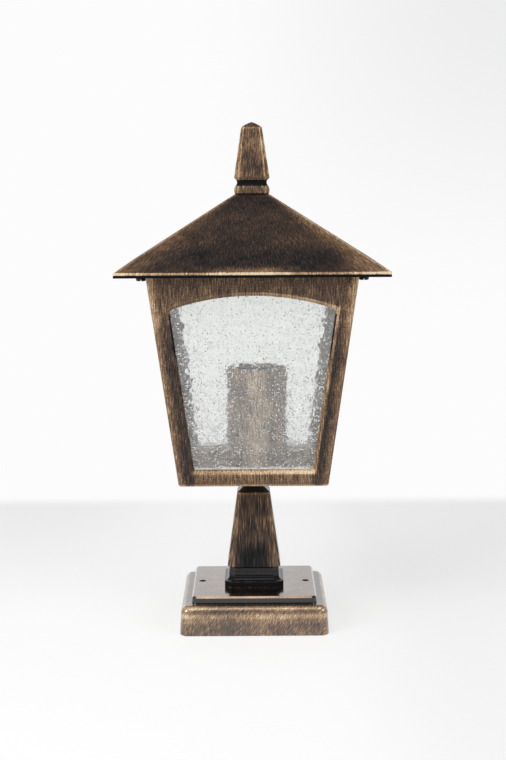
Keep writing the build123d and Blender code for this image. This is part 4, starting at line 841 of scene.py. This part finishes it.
# %% [markdown]
# ## Seeded glass
# The glass is clear with a slight haze. Its seeds are bubbles about 1 mm across and nearly 2 mm apart,
# fewer towards the top. A bubble bends light like a small lens, so it shows bright on a dark background
# and dark on a bright one. Thousands of real bubbles would be too many faces, so each seed is a little
# dome in the bump, picked at random from cells, which lets less light through and scatters more. The
# lens's light is painted into each seed's colour: most seeds are pale, as painted glints, and the rest
# grey, as painted shade. A painted highlight lies along the foot of each pane as a pale line.

# %% Glass material and panes
SEED_SPACING = 1.7 * MM
SEED_DOME = {1: 0.08, 2: 0.42}
SEED_RARER = {1: BODY_Z + 40 * MM, 2: BODY_Z + 120 * MM, 3: 0.35, 4: 0.7}
SHADED_SEED_SHARE = 0.4
SEED_PAINTED_SHADE = "#8f9393"
SEED_PAINTED_GLINT = "#f6f8f8"
GLASS_CLEAR = "#fafbfa"
LIGHT_THROUGH = {3: 0.92, 4: 0.15}
HAMMERING = 2.5 * MM
HAMMERING_SHARE = 0.3
FOOT_GLINT_RAGGED = 5 * MM
FOOT_GLINT_Z = BODY_Z + WINDOW_SILL * cos(LEAN) + 0.5 * MM
FOOT_GLINT_FADE = {1: FOOT_GLINT_Z + 2.0 * MM, 2: FOOT_GLINT_Z + 5 * MM, 3: 0.4, 4: 1.0}
GLASS_RELIEF = {"Strength": 0.55, "Distance": 0.35 * MM}
GLASS_ROUGHNESS = 0.04
GLASS_IOR = 1.5
# How far each side is turned about the axis from the front, in degrees.
SIDES = {"front": 0, "right": 90, "back": 180, "left": 270}
RANDOM_START = 7

# Cast glass is clear with a faint haze. Each seed is a dot of painted light, pale as a glint for most and
# grey as shade for the rest.
seeded_glass, tree = blank_material("cast_seeded_glass")
where = add(tree, "TexCoord").node.outputs["Object"]
level = add(tree, "SeparateXYZ", {0: where}).node.outputs["Z"]
cells = add(tree, "TexVoronoi", {"Vector": where, "Scale": 1 / SEED_SPACING, "Randomness": 1.0})
dome = add(tree, "MapRange", {0: cells, **SEED_DOME, **FALLING}, **SMOOTH)
chance = add(tree, "SeparateColor", {0: cells.node.outputs["Color"]}).node.outputs
rarer = add(tree, "MapRange", {0: level, **SEED_RARER})
pick = add(tree, "Math", {0: chance["Red"], 1: rarer}, operation="GREATER_THAN")
# The seeds' colours are painted light: pale glints for most, grey shade for the rest.
pale = add(tree, "Math", {0: chance["Green"], 1: SHADED_SEED_SHARE}, operation="GREATER_THAN")
seed = add(tree, "Math", {0: dome, 1: pick}, operation="MULTIPLY")
spot = add(tree, "Mix", {0: pale, 6: linear(SEED_PAINTED_SHADE), 7: linear(SEED_PAINTED_GLINT)}, data_type="RGBA")
spot = spot.node.outputs[COLOUR]
tint = add(tree, "Mix", {0: seed, 6: linear(GLASS_CLEAR), 7: spot}, data_type="RGBA").node.outputs[COLOUR]
through = add(tree, "MapRange", {0: seed, **LIGHT_THROUGH})
fine = add(tree, "TexNoise", {"Vector": where, "Scale": 1 / HAMMERING, "Detail": 2.0})
# Painted highlight: just above the sill the glass lets less light through, so its pale tint shows as a line.
ragged = add(tree, "Math", {0: fine, 1: FOOT_GLINT_RAGGED, 2: level}, operation="MULTIPLY_ADD")
foot_glint = add(tree, "MapRange", {0: ragged, **FOOT_GLINT_FADE}, **SMOOTH)
through = add(tree, "Math", {0: through, 1: foot_glint}, operation="MULTIPLY")
height = add(tree, "Math", {0: fine, 1: HAMMERING_SHARE, 2: seed}, operation="MULTIPLY_ADD")
bump = add(tree, "Bump", {"Height": height, **GLASS_RELIEF})
shader = add(tree, "BsdfPrincipled", {
    "Base Color": tint, "Roughness": GLASS_ROUGHNESS, "IOR": GLASS_IOR, "Transmission Weight": through,
    "Normal": bump})
add(tree, "OutputMaterial", {"Surface": shader})

panes = [pane(side, turn, seeded_glass, np.random.default_rng(turn + RANDOM_START))
         for side, turn in SIDES.items()]
print("panes", [(p.name, len(p.data.polygons)) for p in panes])

# %% [markdown]
# ## Metal, porcelain and plastic inside
# What the castings hide shows when the roof is lifted or the plinth is turned over. One plain colour
# would look like a toy, so each of these finishes has two tones, mixed by a fine grain and a slow change,
# which also shifts the gloss a little.

# %% Hardware finishes
# Real grains are finer; these are drawn 0.4 mm across or more, so that they show in a close view.
SLOW_GRAINS = 12
TONE_RANGE = {1: 0.12, 2: 0.4}
DULLER = 1.15
GLOSSIER = 0.85
GRAIN_BUMP = 0.1


def plain_finish(name, dark, light, grain, metallic, roughness):
    """A two-tone finish: noise of a grain size in metres mixes the tones, shifts the gloss and gives a
    bump a third of a grain deep."""
    material, tree = blank_material(name)
    where = add(tree, "TexCoord").node.outputs["Object"]
    fine = add(tree, "TexNoise", {"Vector": where, "Scale": 1 / grain, "Detail": 3.0})
    slow = add(tree, "TexNoise", {"Vector": where, "Scale": 1 / (SLOW_GRAINS * grain), "Detail": 1.0})
    both = add(tree, "Math", {0: fine, 1: slow}, operation="MULTIPLY")
    both = add(tree, "MapRange", {0: both, **TONE_RANGE})
    tint = add(tree, "Mix", {0: both, 6: linear(dark), 7: linear(light)}, data_type="RGBA")
    rough = add(tree, "MapRange", {0: slow, 3: roughness * GLOSSIER, 4: roughness * DULLER})
    bump = add(tree, "Bump", {"Strength": GRAIN_BUMP, "Distance": grain / 3, "Height": fine})
    shader = add(tree, "BsdfPrincipled", {
        "Base Color": tint.node.outputs[COLOUR], "Metallic": metallic, "Roughness": rough, "Normal": bump})
    add(tree, "OutputMaterial", {"Surface": shader})
    return material


# Oxide turns a screw brownish black, with a dull glint of steel left.
blackened = plain_finish("blackened_steel_screw", "#1c1b1c", "#37322f", 0.5 * MM, 0.7, 0.42)
# Zinc is pale grey and softly bright, with cloudy tones.
zinc = plain_finish("zinc_plated_steel", "#8f9194", "#c2c3c2", 0.5 * MM, 1.0, 0.35)
# Turned brass is yellow and the brightest metal here.
brass = plain_finish("turned_brass", "#a57f3c", "#d3ad62", 0.4 * MM, 1.0, 0.3)
# Rubber takes the mould's grain and hardly shines.
rubber = plain_finish("moulded_black_rubber", "#141414", "#26262a", 0.8 * MM, 0.0, 0.75)
# Phenolic resin is a warm black with a soft gloss from the mould.
phenolic = plain_finish("moulded_black_phenolic", "#17130f", "#2a231d", 1.2 * MM, 0.0, 0.4)
# Glaze gives porcelain sharp highlights over a creamy white.
porcelain = plain_finish("glazed_porcelain", "#e4e0d6", "#f3f0e8", 2.0 * MM, 0.0, 0.18)
# Polyamide is a milky white with a satin surface.
polyamide = plain_finish("moulded_white_polyamide", "#d9d7d0", "#ebe9e3", 1.0 * MM, 0.0, 0.5)
# Wire sheaths are drawn from coloured plastic and look smooth and slightly waxy.
brown_lead = plain_finish("brown_wire_sheath", "#4a2c1c", "#64402b", 1.0 * MM, 0.0, 0.5)
blue_lead = plain_finish("blue_wire_sheath", "#1e4a8c", "#2f63ad", 1.0 * MM, 0.0, 0.5)
hardware = (blackened, zinc, brass, rubber, phenolic, porcelain, polyamide, brown_lead, blue_lead)
print("hardware finishes", [material.name for material in hardware])

# %% [markdown]
# ## Contact spring
# The centre contact stands on a small conical spring of zinc-plated steel wire, wound on a taper so that
# its turns nest when the lamp's tip presses it down. Its solid is a plain cone with the same ends. A
# Screw modifier could wind it, but a worked-out tube ends exactly where the cone does. It is a circle
# swept along a helix whose radius shrinks as it climbs. The real spring flattens to half its height as
# the contact is pressed; this mesh keeps its full height.

# %% Contact spring
SPRING_Z = 176.55 * MM
SPRING_HEIGHT = 3.95 * MM
SPRING_FOOT_RADIUS = 4.7 * MM
SPRING_TOP_RADIUS = 2.1 * MM
SPRING_TURNS = 3.5
SPRING_STEPS = 168
WIRE_RADIUS = 0.22 * MM
WIRE_STEPS = 10


def spring_points():
    """Rings of the wire: at share t the helix has turned by 2 pi t TURNS, its radius is
    foot + (top - foot) t and its height climbs with t. Each ring lies in the plane of that radius and
    the axis."""
    t = np.linspace(0, 1, SPRING_STEPS)[:, None]
    turned = 2 * pi * SPRING_TURNS * t
    ring = np.linspace(0, 2 * pi, WIRE_STEPS, endpoint=False)[None, :]
    radius = SPRING_FOOT_RADIUS + (SPRING_TOP_RADIUS - SPRING_FOOT_RADIUS) * t + WIRE_RADIUS * np.cos(ring)
    rise = WIRE_RADIUS + (SPRING_HEIGHT - 2 * WIRE_RADIUS) * t + WIRE_RADIUS * np.sin(ring)
    points = np.stack([radius * np.cos(turned), radius * np.sin(turned), SPRING_Z + rise], axis=-1)
    return points.reshape(-1, 3)


def spring_faces():
    """Quads between neighbouring rings, and a cap on the first and on the last ring."""
    index = np.arange(SPRING_STEPS * WIRE_STEPS).reshape(SPRING_STEPS, WIRE_STEPS)
    turned = np.roll(index, -1, axis=1)
    quads = np.stack([index[:-1], turned[:-1], turned[1:], index[1:]], axis=-1).reshape(-1, 4)
    return [*quads.tolist(), index[0, ::-1].tolist(), index[-1].tolist()]


spring_mesh = bpy.data.meshes.new("wound_contact_spring")
spring_mesh.from_pydata(spring_points().tolist(), [], spring_faces())
spring_mesh.polygons.foreach_set("use_smooth", np.ones(len(spring_mesh.polygons), bool))
spring_mesh.materials.append(zinc)
spring = bpy.data.objects.new("wound_contact_spring", spring_mesh)
bpy.context.scene.collection.objects.link(spring)
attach(spring, "lantern")
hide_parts("contact_spring")
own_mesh(spring)
print(spring.name, len(spring_mesh.polygons), "faces")

# %% [markdown]
# ## Every solid gets its finish
# The other solids keep their shapes and only get a material. Small pieces that share one are listed
# together. The panes and the spring aren't in the list, because the surfaces above stand for them.

# %% Finish of every node
ZINC_PIECES = (
    "glass_clips", "glass_clip_screws", "tie_rod", "lower_washer", "lower_nut", "upper_washer", "upper_nut",
    "lampholder_locknut", "finial_stud", "finial_washer", "finial_nut", "earth_washer", "earth_screw",
    "terminal_screws", "terminal_block_screws")
BRASS_PIECES = (
    "shell_screw", "screw_shell", "centre_contact", "line_terminal", "neutral_terminal", "terminal_barrels")
FINISH = {
    "base_plinth": plinth_bronze,
    "flange_plate": plate_bronze,
    "post_column": post_bronze,
    "lantern_body": housing_bronze,
    "roof": roof_bronze,
    "finial": finial_bronze,
    "lamp_sleeve": sleeve_bronze,
    "roof_screw_left": blackened,
    "roof_screw_right": blackened,
    "roof_seal": rubber,
    "lampholder_cap": phenolic,
    "lampholder_skirt": phenolic,
    "lampholder_insert": porcelain,
    "terminal_block": polyamide,
    "line_lead": brown_lead,
    "neutral_lead": blue_lead,
    **dict.fromkeys(ZINC_PIECES, zinc),
    **dict.fromkeys(BRASS_PIECES, brass),
}
for name, material in FINISH.items():
    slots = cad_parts[name].data.materials
    slots.clear()
    slots.append(material)
print("finished", len(FINISH), "and replaced", sorted(set(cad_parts) - set(FINISH)))
